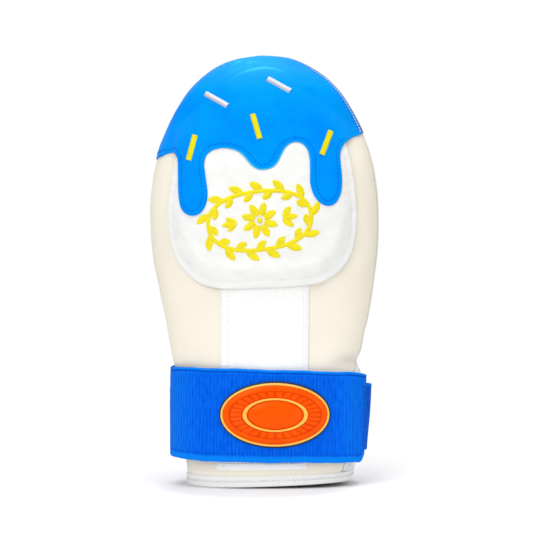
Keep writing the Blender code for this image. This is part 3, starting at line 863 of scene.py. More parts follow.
def ribbed(name, main, low, rib, fine, deep=0.16, edge=None, rough=(0.68, 0.86), strength=0.7, picks=0.16, **sockets):
    """Woven elastic: ribs across it in cloth x, and finer picks in cloth y."""
    f = Finish(name, **sockets)
    u, v = f.part(f.cloth, 0), f.part(f.cloth, 1)
    wander = f.math("MULTIPLY", f.math("SUBTRACT", f.noise(7.0, 3.0), 0.5), 3.0)
    rib_wave = f.ribs(u, rib, wander)
    pick = f.ribs(v, fine, f.math("MULTIPLY", f.math("SUBTRACT", f.noise(1.4, 2.0), 0.5), 4.0))
    fibres = f.noise(0.4, 3.0)
    streak = f.node("ShaderNodeMapping")
    f.put(streak.inputs["Vector"], f.cloth)
    streak.inputs["Scale"].default_value = (1.0, 0.22, 1.0)
    streaks = f.noise(1.5, 3.0, streak.outputs[0], rough=0.6)
    height = f.math("ADD", f.math("MULTIPLY", rib_wave, 0.8), f.math("ADD", f.math("MULTIPLY", pick, 0.35), f.math("MULTIPLY", fibres, 0.5)))
    factor = f.math("MULTIPLY", f.math("SUBTRACT", 1.0, rib_wave), 0.34)
    factor = f.math("ADD", factor, f.math("MULTIPLY", f.math("SUBTRACT", 1.0, pick), picks))
    factor = f.math("ADD", factor, f.range(streaks, 0.38, 0.66, 0.0, 0.55))
    factor = f.math("MULTIPLY", factor, strength, clamp=True)
    colour = f.mix(factor, seen(main), seen(low))
    if edge:
        colour = f.mix(f.range(f.shade, 0.0, 1.0), colour, seen(edge))
        colour = f.mix(f.range(f.shade, 0.0, -1.0), colour, seen("strap_dark"))
    return f.done(colour, f.range(fibres, 0.3, 0.7, *rough), f.relief(height, deep))


def knitted(name, main, low, wale=1.1, course=0.9, deep=0.22, **sockets):
    """A stretch knit: small V loops in columns, with pores between them."""
    f = Finish(name, **sockets)
    u, v = f.part(f.cloth, 0), f.part(f.cloth, 1)
    slant = f.math("ABSOLUTE", f.math("SINE", f.math("MULTIPLY", u, math.pi / wale)))
    loops = f.ribs(f.math("ADD", v, f.math("MULTIPLY", slant, course * 0.55)), course)
    column = f.ribs(u, wale)
    fibres = f.noise(0.3, 3.0)
    height = f.math("ADD", f.math("MULTIPLY", loops, column), f.math("MULTIPLY", fibres, 0.3))
    factor = f.range(f.math("MULTIPLY", loops, column), 0.02, 0.4, 1.0, 0.0)
    factor = f.math("ADD", f.math("MULTIPLY", factor, 0.5), f.range(f.noise(1.5, 2.0), 0.46, 0.60, 0.0, 1.0))
    colour = f.mix(f.math("MULTIPLY", factor, 0.9, clamp=True), seen(main), seen(low))
    return f.done(colour, f.range(fibres, 0.3, 0.7, 0.8, 0.95), f.relief(height, deep))


def thread(name, main, low, deep=0.05, rough=(0.34, 0.5), **sockets):
    """Twisted satin thread: cloth x runs along it and cloth y round it."""
    f = Finish(name, **sockets)
    along, turn, which = f.part(f.cloth, 0), f.part(f.cloth, 1), f.part(f.cloth, 2)
    twist = f.math("ADD", f.math("SINE", f.math("ADD", f.math("MULTIPLY", along, 2 * math.pi / 0.55), f.math("MULTIPLY", turn, 2.0))), 0.0)
    own = f.node("ShaderNodeTexWhiteNoise", noise_dimensions="1D")
    f.put(own.inputs["W"], which)
    factor = f.math("ADD", f.math("MULTIPLY", f.math("SUBTRACT", 1.0, f.math("ADD", f.math("MULTIPLY", twist, 0.5), 0.5)), 0.2),
                    f.math("MULTIPLY", own.outputs["Value"], 0.15))
    factor = f.math("ADD", factor, f.shade, clamp=True)
    colour = f.mix(factor, seen(main), seen(low))
    return f.done(colour, f.range(f.noise(0.5, 2.0), 0.3, 0.7, *rough), f.relief(twist, deep))


def moulded(name, main, low, rough=(0.16, 0.26), deep=0.02, **sockets):
    f = Finish(name, **sockets)
    slow = f.noise(9.0, 3.0)
    specks = f.noise(0.5, 3.0)
    colour = f.mix(f.math("ADD", f.math("MULTIPLY", f.range(slow, 0.35, 0.7), 0.25), f.shade, clamp=True), seen(main), seen(low))
    return f.done(colour, f.range(specks, 0.3, 0.7, *rough), f.relief(f.math("ADD", slow, f.math("MULTIPLY", specks, 0.2)), deep))


CREAM = smooth_leather("cream_leather", "cream", "cream_low", grain=0.5, deep=0.05, rough=(0.52, 0.66), cut="cream_seam_shade", mottle=0.3,
                       Specular_IOR_Level=0.22)
BLUE = smooth_leather("blue_leather", "leather", "leather_low", grain=0.62, deep=0.04, rough=(0.30, 0.40), cut="leather_edge_and_highlight",
                      Specular_IOR_Level=0.05, Specular_Tint=(0.05, 0.62, 1.0, 1.0))
LINING = woven("brushed_lining", "lining", "lining_low", across=1.1, along=1.1, deep=0.14, Specular_IOR_Level=0.1)
KNIT = knitted("white_knit", "knit", "knit_low", wale=1.5, course=1.25, deep=0.16, Specular_IOR_Level=0.10)
PAD_CLOTH = woven("pad_cloth", "pad", "pad_low", across=0.8, along=0.8, deep=0.10, fuzz=0.6, Specular_IOR_Level=0.15)
STRIP_CLOTH = ribbed("white_elastic", "strip", "strip_low", rib=1.5, fine=0.7, deep=0.12, strength=0.55, Specular_IOR_Level=0.15)
BINDING_CLOTH = ribbed("binding_elastic", "binding", "binding_low", rib=0.9, fine=0.8, deep=0.12, strength=0.6, Specular_IOR_Level=0.15)
STRAP_CLOTH = ribbed("blue_elastic", "strap", "strap_low", rib=RIB, fine=1.05, deep=0.20, edge="strap_edge", strength=0.95,
                     picks=0.30, Specular_IOR_Level=0.06, Specular_Tint=(0.2, 0.55, 1.0, 1.0))
TAB_CLOTH = woven("hook_tape", "tab", "tab_low", across=1.3, along=1.3, deep=0.25, fuzz=0.5, edge="strap_edge",
                  Specular_IOR_Level=0.07, Specular_Tint=(0.3, 0.6, 1.0, 1.0))
RUBBER = moulded("orange_rubber", "rubber", "rubber_low", rough=(0.12, 0.20), Specular_IOR_Level=0.30, Specular_Tint=(1.0, 0.5, 0.16, 1.0))
GOLD = moulded("gold_rubber", "gold", "gold_low", rough=(0.2, 0.3), Specular_IOR_Level=0.5)
NAVY = moulded("navy_rubber", "navy", "navy_low", rough=(0.34, 0.46), Specular_IOR_Level=0.3)
WHITE_THREAD = thread("white_thread", "white_thread", "white_thread_low", Specular_IOR_Level=0.35)
YELLOW_THREAD = thread("yellow_thread", "yellow_thread", "yellow_thread_low", Specular_IOR_Level=0.3, Specular_Tint=(1.0, 0.9, 0.4, 1.0))
GOLDEN_THREAD = thread("golden_thread", "golden_thread", "golden_thread_low", Specular_IOR_Level=0.3, Specular_Tint=(1.0, 0.9, 0.5, 1.0))
BLUE_THREAD = thread("blue_thread", "blue_thread", "blue_thread_low", Specular_IOR_Level=0.2, Specular_Tint=(0.3, 0.6, 1.0, 1.0))
CAP_THREAD = thread("cap_thread", "cap_thread", "cap_thread_low", Specular_IOR_Level=0.2, Specular_Tint=(0.3, 0.6, 1.0, 1.0))
GREY_THREAD = thread("grey_thread", "grey_thread", "grey_thread_low", Specular_IOR_Level=0.12)
PALE_THREAD = thread("pale_blue_thread", "light_blue_thread", "light_blue_thread_low", Specular_IOR_Level=0.3)


def settle(piece, slot, *nodes):
    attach(piece, "root")
    if nodes:
        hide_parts(*nodes)
    return piece


def spaced(count, crowd=0.7):
    """From 0 to 1, closer together at both ends."""
    t = np.linspace(0, 1, count)
    return t - crowd * np.sin(2 * math.pi * t) / (2 * math.pi)


# ---- shells -------------------------------------------------------------------------------------------------------


def shells():
    low, high = float(s_at(66.0)), float(s_at(82.0))
    s = np.concatenate([np.linspace(0, low, 32), np.linspace(low, high, 26)[1:], np.linspace(high, TIP - 12, 90)[1:],
                        np.linspace(TIP - 12, TIP, 16)[1:]])[:, None]
    made = {}
    for name, side, table, columns, slot_node in (
        ("shell_back_of_hand", front, FRONT_SPANS, 126, "front_panel"),
        ("shell_palm", palm, PALM_SPANS, 96, "palm_panel"),
    ):
        share = spaced(columns)[None, :]
        p, n = side(share, s)
        rolled = dip(share, s, table)
        outer = p + n * (swell(p) - rolled)[..., None]
        outer[-1] = outer[-1].mean(0)
        inner = p - n * (WALL - 0.2 * rolled)[..., None]
        inner[-1] = inner[-1].mean(0)
        points, quads, within = shell(outer, inner, top=False)
        along = np.stack([(share - 0.5) * span(s, table), s + 0 * share], axis=-1).reshape(-1, 2)
        # painted shade: the shells, outside and lining, are drawn darker near their seams, less so low on the cuff
        near = (1 - eased(np.minimum(share, 1 - share) * span(s, table) / SEAM_SHADE)).ravel() * 0.95
        near = near * (0.35 + 0.65 * eased((z_at(s) - 30.0) / 20.0) + 0 * share).ravel()
        piece = make(name, points, quads, [CREAM, LINING], cloth=np.concatenate([along, along]),
                     shade=np.concatenate([near, near]), kinds=within, weld=True)
        settle(piece, "shell_cream", slot_node)
        made[name] = (piece, points, quads)
    return made


def gusset():
    s = s_at((GUSSET_TOP - 1.1) * (1 - (1 - np.linspace(0, 1, 84)) ** 1.5))[:, None]
    z = z_at(s)
    share = np.linspace(0, 1, 34)[None, :]
    low, high = seam_front(z) + 0.4, seam_back(z) - 0.4
    p, n = body(low + (high - low) * share, s)
    full = np.sin(math.pi * share) ** 0.6
    proud = -1.15 + full * (1.2 + 0.9 * hill(z - 71.0, 7.0) + 0.8 * hill(z - 9.0, 7.0)) + 0.10 * np.sin(z / 1.9) * full
    proud = proud + 0.55 * (1 - full) * eased((26.0 - z) / 10.0)
    proud = proud - 0.5 * eased((z - 75.0) / 3.5)
    p = p + n * (swell(p) + proud)[..., None]
    points, quads, within = shell(p, p - n * GUSSET_WALL)
    wide = np.linalg.norm(np.diff(p, axis=1), axis=-1).sum(1)[:, None]
    cloth = np.stack([(share - 0.5) * wide, s + 0 * share], axis=-1).reshape(-1, 2)
    piece = make("wrist_gusset", points, quads, KNIT, cloth=np.concatenate([cloth, cloth]))
    settle(piece, "gusset_knit", "side_gusset")
    return points, quads


# ---- layers on the back of the hand -------------------------------------------------------------------------------

PAD_EDGE = resample(closed_curve([row[1:] for row in PAD], 900), step=0.85, closed=True)
PAD_FLAT = flat_of(*place(PAD_EDGE[:, 0], PAD_EDGE[:, 1]))
PAD_FINE = resample(PAD_FLAT, step=0.15, closed=True)
PAD_TREE = tree_of(PAD_FINE)


def cap_edge():
    """The cap's dripping edge in the unrolled side, from the left seam to the right one."""
    edge = resample(open_curve([point for row in DRIPS for point in row[1:]], 1600), step=0.2)
    q = flat_of(*place(edge[:, 0], edge[:, 1]))
    left = flat_of(np.array([0.0]), np.array([float(s_at(HEM_LEFT))]))
    right = flat_of(np.array([1.0]), np.array([float(s_at(HEM_RIGHT))]))
    q = np.concatenate([left, q, right])
    return resample(open_curve(resample(q, step=2.2), 1200), step=0.8)


CAP_FLAT = cap_edge()
CAP_FINE = resample(CAP_FLAT, step=0.15)
CAP_TREE = tree_of(CAP_FINE)


def pad_reach(q):
    """Distance inside the flap's edge, in the unrolled side; negative outside it."""
    flat = q.reshape(-1, 2)
    d = distance(flat, PAD_TREE)
    return np.where(inside(flat, PAD_FLAT), d, -d).reshape(q.shape[:-1])


def cap_outline():
    s = np.linspace(CAP_FLAT[-1, 1], TIP - 0.4, 90)[1:]
    right = flat_of(np.ones_like(s), s)
    s = np.linspace(TIP - 0.4, CAP_FLAT[0, 1], 90)[:-1]
    left = flat_of(np.zeros_like(s), s)
    return np.concatenate([CAP_FLAT, right, left])


CAP_OUTLINE = cap_outline()


def cap_reach(q):
    """Distance from the cap's dripping edge, in the unrolled side; negative below it."""
    flat = q.reshape(-1, 2)
    d = distance(flat, CAP_TREE)
    return np.where(inside(flat, CAP_OUTLINE), d, -d).reshape(q.shape[:-1])


def pad_foot(p):
    """Height of the flap's underside above the shell: it lies on the strip near its lower edge."""
    on_strip = eased((150.0 - p[..., 2]) / 12.0) * eased((44.0 - np.abs(p[..., 0])) / 13.0)
    return 0.25 + (STRIP_THICK + 0.25) * on_strip


def pad_top(d):
    """Height of the flap's top above its foot: rolled edge, stitched channel, padding."""
    roll = PAD_EDGE_HIGH + 1.45 * np.sqrt(np.clip(1 - (1 - np.clip(d / PAD_ROLL, 0, 1)) ** 2, 0, 1))
    full = (PAD_THICK - PAD_EDGE_HIGH - 1.45) * eased((d - 1.5) / 14.0)
    return roll + full - 0.05 * hill(d - PAD_SEAM, 0.9)


def under_cap(q, share, s, d):
    """Height of the cap's underside above the shell: on whatever is under it near its edge, domed further up."""
    reach = np.minimum(share, 1 - share) * span(s)
    over = pad_reach(q)
    rest = 2.6 * eased((over + 8.0) / 10.0) + (PAD_THICK - 2.4) * eased((over - 1.5) / 14.0)
    wide = PAD_THICK * eased((over + 11.0) / 24.0)
    dome = PAD_THICK * eased(reach / 21.0) * eased((z_at(s) - 230.0) / 28.0)
    high = rest + (np.maximum(wide, dome) - rest) * eased((d - 1.0) / 15.0)
    # towards the side the layers thin out, so the outline seen from the front stays the shell's
    edgewise = np.sqrt(np.clip(1 - front(share, s)[1][..., 1] ** 2, 0.01, 1))
    room = np.maximum(0.5 * np.maximum(smooth(KNOTS, ROWS, s)[0][..., 3], 13.0) * (1 / edgewise - 1) - 0.45, 0.02)
    high = high / (1 + (high / room) ** 3) ** (1 / 3)
    ridge = 0.6 * hill(over - 2.4, 1.3) * hill(q[..., 0] + 4.0, 17.0) * (q[..., 1] > s_at(262.0))
    return 0.12 + high * eased(reach / 4.0 + 0.10) + ridge


def swollen(places, pinned, pressure=4.0, most=0.8):
    """How far each point of a held sheet moves out when it is filled: a cloth simulation of the padding."""
    points, faces, normals = places
    mesh = bpy.data.meshes.new("filling")
    mesh.from_pydata([tuple(p * MM) for p in points], [], [tuple(int(i) for i in f) for f in faces])
    obj = bpy.data.objects.new("filling", mesh)
    bpy.context.scene.collection.objects.link(obj)
    held = obj.vertex_groups.new(name="held")
    for i, weight in enumerate(pinned):
        if weight > 0:
            held.add([i], float(weight), "REPLACE")
    cloth = obj.modifiers.new("cloth", "CLOTH")
    cloth.settings.quality = 6
    cloth.settings.mass = 0.1
    cloth.settings.tension_stiffness = 12
    cloth.settings.compression_stiffness = 12
    cloth.settings.shear_stiffness = 6
    cloth.settings.bending_stiffness = 0.6
    cloth.settings.use_pressure = True
    cloth.settings.uniform_pressure_force = pressure
    cloth.settings.effector_weights.gravity = 0
    cloth.settings.vertex_group_mass = "held"
    cloth.settings.shrink_min = -0.035
    cloth.collision_settings.use_collision = False
    cloth.point_cache.frame_start, cloth.point_cache.frame_end = 1, 20
    for f in range(1, 21):
        bpy.context.scene.frame_set(f)
    shown = obj.evaluated_get(bpy.context.evaluated_depsgraph_get()).to_mesh()
    moved = np.empty(len(points) * 3)
    shown.vertices.foreach_get("co", moved)
    moved = moved.reshape(-1, 3) / MM
    bpy.data.objects.remove(obj, do_unlink=True)
    bpy.context.scene.frame_set(1)
    out = ((moved - points) * normals).sum(1)
    print("padding moved", round(float(out.min()), 2), "to", round(float(out.max()), 2), "mm")
    return np.clip(out * min(1.0, most / max(float(np.percentile(out, 98)), 1e-6)), -0.4, most)


def flap():
    """The padded flap: a closed body over a triangulated outline, filled by simulation."""
    distances = (0.25, 0.6, 1.0, 1.5, 2.1, 2.8, 3.5, 4.1, 4.6, 5.0, 5.4, 5.9, 6.6, 7.5)
    inner = np.concatenate([
        rings_in(PAD_FLAT, distances, PAD_TREE),
        lattice(PAD_FLAT, 1.5, PAD_TREE, distances[-1] + 0.6),
    ])
    q, faces = fill(PAD_FLAT, inner)
    share, s = unflat(q)
    base, n = base_front(share, s)
    d = pad_reach(q)
    d[: len(PAD_FLAT)] = 0.0
    foot = pad_foot(base)
    height = pad_top(d)

    rough = np.concatenate([
        rings_in(resample(PAD_FLAT, step=3.0, closed=True), (2.4, 5.0, 7.6), PAD_TREE),
        lattice(PAD_FLAT, 3.2, PAD_TREE, 9.4),
    ])
    outline = resample(PAD_FLAT, step=3.0, closed=True)
    cq, cf = fill(outline, rough)
    cshare, cs = unflat(cq)
    cbase, cn = base_front(cshare, cs)
    cd = pad_reach(cq)
    cd[: len(outline)] = 0.0
    points = cbase + cn * (pad_foot(cbase) + pad_top(cd))[:, None]
    pinned = np.clip(hill(cd - PAD_SEAM, 1.1) + (cd < 1.0), 0, 1)
    out = swollen((points, cf, cn), np.where(pinned > 0.3, pinned, 0.0))
    tree = BVHTree.FromPolygons([(u, v, 0.0) for u, v in cq], [tuple(int(i) for i in f) for f in cf])
    gain = np.zeros(len(q))
    for i, (u, v) in enumerate(q):
        at, _, face, _ = tree.find_nearest(Vector((u, v, 0.0)))
        corners = cq[cf[face]]
        weight = 1.0 / (np.linalg.norm(corners - np.array([at[0], at[1]]), axis=1) + 0.35)
        gain[i] = (out[cf[face]] * weight).sum() / weight.sum()
    gain *= eased(d / 1.5)
    height = height + gain
    from_hem = cap_reach(q)
    limit = under_cap(q, share, s, np.maximum(from_hem, 0)) - 0.12 - pad_foot(base)
    covered = eased((from_hem + 1.4) / 1.6)
    height = height * (1 - covered) + np.minimum(height, np.maximum(limit, 0.9)) * covered
    height[: len(PAD_FLAT)] = PAD_EDGE_HIGH
    low = PAD_EDGE_HIGH * (1 - np.sqrt(np.clip(1 - (1 - np.clip(d / 1.2, 0, 1)) ** 2, 0, 1)))
    low[: len(PAD_FLAT)] = PAD_EDGE_HIGH
    uneven = 0.10 * waves(base, 6.0, 8) * eased(d / 2.0)
    top = base + n * (foot + height + uneven)[:, None]
    under = base + n * (foot + low)[:, None]
    count = len(q)
    rim = len(PAD_FLAT)
    to_under = np.where(np.arange(count) < rim, np.arange(count), np.arange(count) + count - rim)
    points = np.concatenate([top, under[rim:]])
    faces_all = np.concatenate([faces, to_under[faces][:, ::-1]])
    # painted shade: the cloth is drawn a little darker along the stitched channel
    groove = 0.04 * hill(d - PAD_SEAM, 0.7)
    piece = make("hand_flap", points, faces_all, PAD_CLOTH, cloth=np.concatenate([q, q[rim:]]),
                 shade=np.concatenate([groove, np.zeros(count - rim)]), angle=60)
    settle(piece, "pad_fabric", "hand_pad")
    return Skin(top, faces)


def cap():
    """The leather cap, laid over the flap and sewn into the side seam."""
    distances = (0.2, 0.45, 0.8, 1.3, 1.9, 2.35, 2.8, 3.25, 3.7, 4.3, 5.2, 6.4)
    outline = CAP_OUTLINE
    edge_count = len(CAP_FLAT)
    whole = tree_of(resample(outline, step=0.3, closed=True))
    sides = outline[edge_count - 1 :]
    side_tree = tree_of(resample(np.concatenate([sides, outline[:1]]), step=0.3))
    from_edge = rings_in(CAP_FLAT, distances, CAP_TREE, closed=False)
    from_edge = from_edge[inside(from_edge, outline)]
    from_edge = from_edge[distance(from_edge, side_tree) > 0.5]
    from_side = rings_in(sides, (0.5, 1.1, 1.8, 2.7, 3.8), side_tree, closed=False)
    from_side = from_side[inside(from_side, outline)]
    from_side = from_side[(distance(from_side, CAP_TREE) > distances[-1] + 0.4) & (from_side[:, 1] < TIP - 2.0)]
    middle = lattice(outline, 1.35, whole, 4.4)
    middle = middle[distance(middle, CAP_TREE) > distances[-1] + 0.6]
    q, faces = fill(outline, np.concatenate([from_edge, from_side, middle]))
    share, s = unflat(q)
    base, n = base_front(share, s)
    d = np.maximum(cap_reach(q), 0)
    d[:edge_count] = 0.0
    reach = np.minimum(share, 1 - share) * span(s)
    low = under_cap(q, share, s, d)
    thick = CAP_THICK * (0.4 + 0.6 * eased(reach / 9.0))
    edge = 0.35 + 0.65 * np.sqrt(np.clip(1 - (1 - np.clip(d / 0.5, 0, 1)) ** 2, 0, 1))
    groove = 0.14 * hill(d - CAP_SEAM, 0.5)
    soft = 0.14 * waves(base, 24.0, 21) + 0.05 * waves(base, 8.0, 22)
    soft = soft + 0.10 * waves(base, 4.5, 23) * eased((base[:, 2] - 271.0) / 3.0) * hill(base[:, 0] + 12.0, 16.0)
    top = base + n * (low + thick * edge - groove + soft * eased(d / 4.0) * eased(reach / 5.0))[:, None]
    under = base + n * (low - 0.5 * groove)[:, None]
    count, rim = len(q), len(outline)
    i = np.arange(rim)
    j = (i + 1) % rim
    wall = np.stack([i, i + count, j + count, j], axis=1)
    points = np.concatenate([top, under])
    # Drawn lighter: a line along the arches' edge, partly the cut edge's own lighter colour and partly painted
    # highlight where that edge catches the light; a painted highlight arc over the flap's top edge; painted highlight
    # growing towards the top; small painted highlight patches near the tip.
    arches = eased((s - float(s_at(202.0))) / 3.0) * hill(q[:, 0] - 3.0, 33.0) ** 4
    cut = 0.85 * (1 - eased((d - 0.25) / 0.6)) * arches
    painted_highlight = 0.9 * hill(pad_reach(q) - 4.5, 0.75) * hill(q[:, 0] - 0.5, 10.5) ** 2 * (s > float(s_at(256.0)))
    painted_highlight = painted_highlight + 0.20 * eased((base[:, 2] - 250.0) / 24.0) * hill(base[:, 0] + 6.0, 32.0)
    highlight_patches = 0.42 * eased(waves(base, 5.0, 24) + 0.3) * hill(q[:, 0] + 13.0, 11.0) * hill(s - float(s_at(273.5)), 3.2)
    cut = np.clip(cut + painted_highlight + highlight_patches, 0, 1)
    piece = make("finger_cap", points, [np.concatenate([faces, (faces + count)[:, ::-1]]), wall], BLUE,
                 cloth=np.concatenate([q, q]), shade=np.concatenate([cut, np.full(count, 0.4)]), angle=50)
    settle(piece, "cap_leather", "fingertip_cap")
    return Skin(top, faces)


def strip():
    """The white elastic strip under the flap and the strap."""
    rows = np.linspace(11.0, 134.0, 124)
    sides = np.array([row[1:] for row in STRIP])
    left, right = (np.interp(rows, sides[:, 0], sides[:, i]) for i in (1, 2))
    t = np.concatenate([[0, 0.004, 0.012], np.linspace(0.03, 0.97, 44), [0.988, 0.996, 1]])
    x = left[:, None] + (right - left)[:, None] * t[None, :]
    z = rows[:, None] + 0 * x
    share, s = place(x, z)
    base, n = base_front(share, s)
    from_side = np.minimum(x - left[:, None], right[:, None] - x)
    thick = STRIP_THICK * (0.35 + 0.65 * np.sqrt(np.clip(1 - (1 - np.clip(from_side / 0.5, 0, 1)) ** 2, 0, 1)))
    thick = thick - 0.04 * hill(from_side - 2.4, 0.9)
    pucker = 0.12 * np.sin(z * 2 * math.pi / 5.2 + 0.6 * np.sin(x / 6)) * hill(from_side, 5.0)
    outer = base + n * (0.12 + thick + pucker)[..., None]
    inner = base + n * 0.12
    points, quads, within = shell(outer, inner)
    cloth = np.stack([x, z], axis=-1).reshape(-1, 2)
    shade = (0.12 * hill(from_side - 2.4, 0.8) + 0.3 * hill(from_side, 0.4)).ravel()
    piece = make("elastic_strip", points, quads, STRIP_CLOTH, cloth=np.concatenate([cloth, cloth]),
                 shade=np.concatenate([shade, shade]), angle=60)
    settle(piece, "strip_elastic", "centre_strip")
    return Skin(outer.reshape(-1, 3), quads_of(np.arange(outer.shape[0] * outer.shape[1]).reshape(outer.shape[:2]))), left, right, rows


# ---- the rim ------------------------------------------------------------------------------------------------------

# Section of the folded binding: offset from the shell's outer face, height, height of the section that it follows.
BINDING = (
    (0.30, 0.0, 1.3), (0.70, 0.10, 1.3), (0.98, 0.42, 1.3), (1.10, 0.95, 1.3), (1.14, 1.8, 1.8), (1.10, 2.8, 2.8),
    (1.00, 3.5, 3.5), (1.00, 3.9, 3.9), (1.00, 4.6, 4.6), (0.90, 5.6, 5.6), (0.74, 6.4, 6.4), (0.60, 6.9, 6.9), (0.46, 7.15, 7.2),
    (0.32, 7.1, 7.2), (0.22, 6.8, 6.9), (0.20, 1.1, 1.3), (0.0, 1.0, 1.3), (-3.2, 1.0, 1.3), (-3.45, 1.1, 1.3), (-3.46, 6.9, 6.9),
    (-3.6, 7.2, 7.2), (-4.0, 7.25, 7.2), (-4.35, 7.0, 7.0), (-4.5, 6.5, 6.5), (-4.52, 3.6, 3.6), (-4.5, 1.1, 1.3), (-4.3, 0.4, 1.3),
    (-3.9, 0.08, 1.3), (-3.4, 0.0, 1.3),
)


def binding():
    rings, cloth = [], []
    for number, (offset, z, follows) in enumerate(BINDING):
        low, high = float(seam_front(follows)), float(seam_back(follows))
        angle = np.concatenate([
            np.linspace(180, low, 150, endpoint=False), np.linspace(low, high, 44, endpoint=False),
            np.linspace(high, 540, 120, endpoint=False),
        ])
        p, n = body(angle, s_at(follows) + 0 * angle)
        flat = unit(n * [1, 1, 0])
        puff = 0.07 * waves(p, 7.0, 31) * (1.0 if offset > 0.9 or offset < -4.0 else 0.0) * eased((z - 0.3) / 1.0)
        q = p + flat * (offset + puff * np.sign(offset))[:, None]
        q[:, 2] = z + rim_lift(p[:, 0], p[:, 1]) * (1 - z / 20.0)
        rings.append(q)
        k = knots_of(q)
        cloth.append(np.stack([k, np.full_like(k, z + (20 if offset < 0 else 0))], axis=1))
    grid = np.stack(rings)
    index = np.arange(grid.shape[0] * grid.shape[1]).reshape(grid.shape[:2])
    index = np.concatenate([index, index[:1]])
    quads = quads_of(index, ring=True)
    z = grid[..., 2].ravel()
    shade = 0.15 * hill(z - 3.7, 0.5)
    piece = make("rim_binding", grid.reshape(-1, 3), quads, BINDING_CLOTH, cloth=np.concatenate(cloth), shade=shade, angle=60)
    settle(piece, "binding_elastic", "cuff_binding")
    outer = grid[3:13]
    skin = Skin(outer.reshape(-1, 3), quads_of(np.arange(outer.shape[0] * outer.shape[1]).reshape(outer.shape[:2]), ring=True))
    return skin, outer


# ---- strap, tab and badge -----------------------------------------------------------------------------------------


def band(table, count):
    rows = np.array([row[1:] for row in table], float)
    k = knots_of(rows[:, :2])
    at = np.linspace(0, k[-1], count)
    value, rate = smooth(k, rows, at)
    along = unit(rate[:, :2])
    return at, value, np.stack([-along[:, 1], along[:, 0]], axis=1)


def band_grid(value, normal, sense, across, offset):
    """Points of a band: across runs from 0 at its lower edge to 1 at its upper one, offset is out of its inner face."""
    offset = np.broadcast_to(offset, (len(across), len(value)))
    made = np.empty((len(across), len(value), 3))
    made[..., :2] = value[None, :, :2] + sense * normal[None] * offset[..., None]
    made[..., 0] += value[None, :, 4] * across[:, None]
    made[..., 2] = value[None, :, 2] + (value[None, :, 3] - value[None, :, 2]) * across[:, None]
    return made


def strap():
    at, value, normal = band(STRAP, 860)
    high = value[:, 3] - value[:, 2]
    across = np.concatenate([[0, 0.004, 0.012, 0.03, 0.052, 0.075, 0.082, 0.092], np.linspace(0.12, 0.93, 22),
                             [0.942, 0.950, 0.956, 0.961, 0.966, 0.971, 0.976, 0.984, 0.991, 0.996, 1.0]])
    from_low = across[:, None] * high[None, :]
    from_top = (1 - across)[:, None] * high[None, :]
    from_end = at[None, :]
    ribs = np.cos(2 * math.pi * (at / RIB + 0.13 * np.sin(at / 11.0) + 0.05 * np.sin(at / 3.7)))
    p2 = np.stack([np.broadcast_to(at, from_low.shape), from_low], axis=-1)
    rough = waves(p2, 5.0, 41)
    ribbed_part = eased((from_low - 4.6) / 0.8) * eased((from_top - 2.6) / 0.5) * eased((from_end - 1.5) / 1.0)
    relief = ribbed_part * (0.09 * ribs[None, :] * (0.7 + 0.45 * rough) + 0.03 * rough)
    relief += -0.26 * hill(from_top - 2.1, 0.32) + 0.12 * hill(from_top - 1.0, 0.7)
    relief += -0.08 * hill(from_low - 4.9, 0.4)
    edge = np.minimum(np.minimum(from_low, from_top), from_end + 0 * from_low)
    rounding = 0.55 * (1 - np.sqrt(np.clip(1 - (1 - np.clip(edge / 0.6, 0, 1)) ** 2, 0, 1)))
    sway = 0.35 * waves(p2 * [1.0, 0.5], 38.0, 42)
    # in front its upper edge lies closer to the wrist than its lower one
    ahead = (hill(value[:, 0] - 3.0, 62.0) ** 2 * (value[:, 1] < 0))[None, :]
    sway = sway * (1 - 0.6 * ahead) + ahead * (1.1 * (1 - eased(across / 0.4)) - 0.75 * eased((across - 0.55) / 0.45))[:, None]
    outer = band_grid(value, normal, 1, across, STRAP_THICK + relief - rounding + sway)
    inner = band_grid(value, normal, 1, across, rounding + sway)
    for grid in (outer, inner):  # the woven edges aren't ruler-straight
        grid[..., 2] += 0.16 * np.sin(at / 6.1)[None, :] + 0.08 * np.sin(at / 2.3 + 1.0)[None, :]
    outer, inner = outer[:, ::-1], inner[:, ::-1]
    points, quads, within = shell(outer, inner)
    cloth = p2[:, ::-1].reshape(-1, 2)
    # The lower selvage is drawn lighter; along the top edge a painted highlight, below it painted shade in its groove
    # with a light line under that, and painted shade in the groove above the lower selvage.
    shade = 0.75 * (1 - eased((from_low - 3.6) / 1.2)) + 0.8 * (1 - eased((from_top - 1.2) / 0.5)) - 0.65 * hill(from_top - 2.1, 0.32)
    shade = shade + 0.30 * hill(from_top - 3.0, 0.35)
    shade = shade - 0.25 * hill(from_low - 4.9, 0.5)
    ends = 1.5 * eased((-value[:, 0] - 38.0) / 22.0) + eased((value[:, 0] - 42.0) / 14.0)
    shade = shade + 0.36 * (ends * (value[:, 1] < 0))[None, :] * (0.7 + 0.5 * ribs[None, :]) * ribbed_part
    shade = np.clip(shade[:, ::-1].ravel(), -1, 1)
    piece = make("wrist_band", points, quads, STRAP_CLOTH, cloth=np.concatenate([cloth, cloth]),
                 shade=np.concatenate([shade, shade]), angle=60)
    settle(piece, "strap_elastic", "wrist_strap")
    index = np.arange(outer.shape[0] * outer.shape[1]).reshape(outer.shape[:2])
    return Skin(outer.reshape(-1, 3), quads_of(index)), at, value, normal


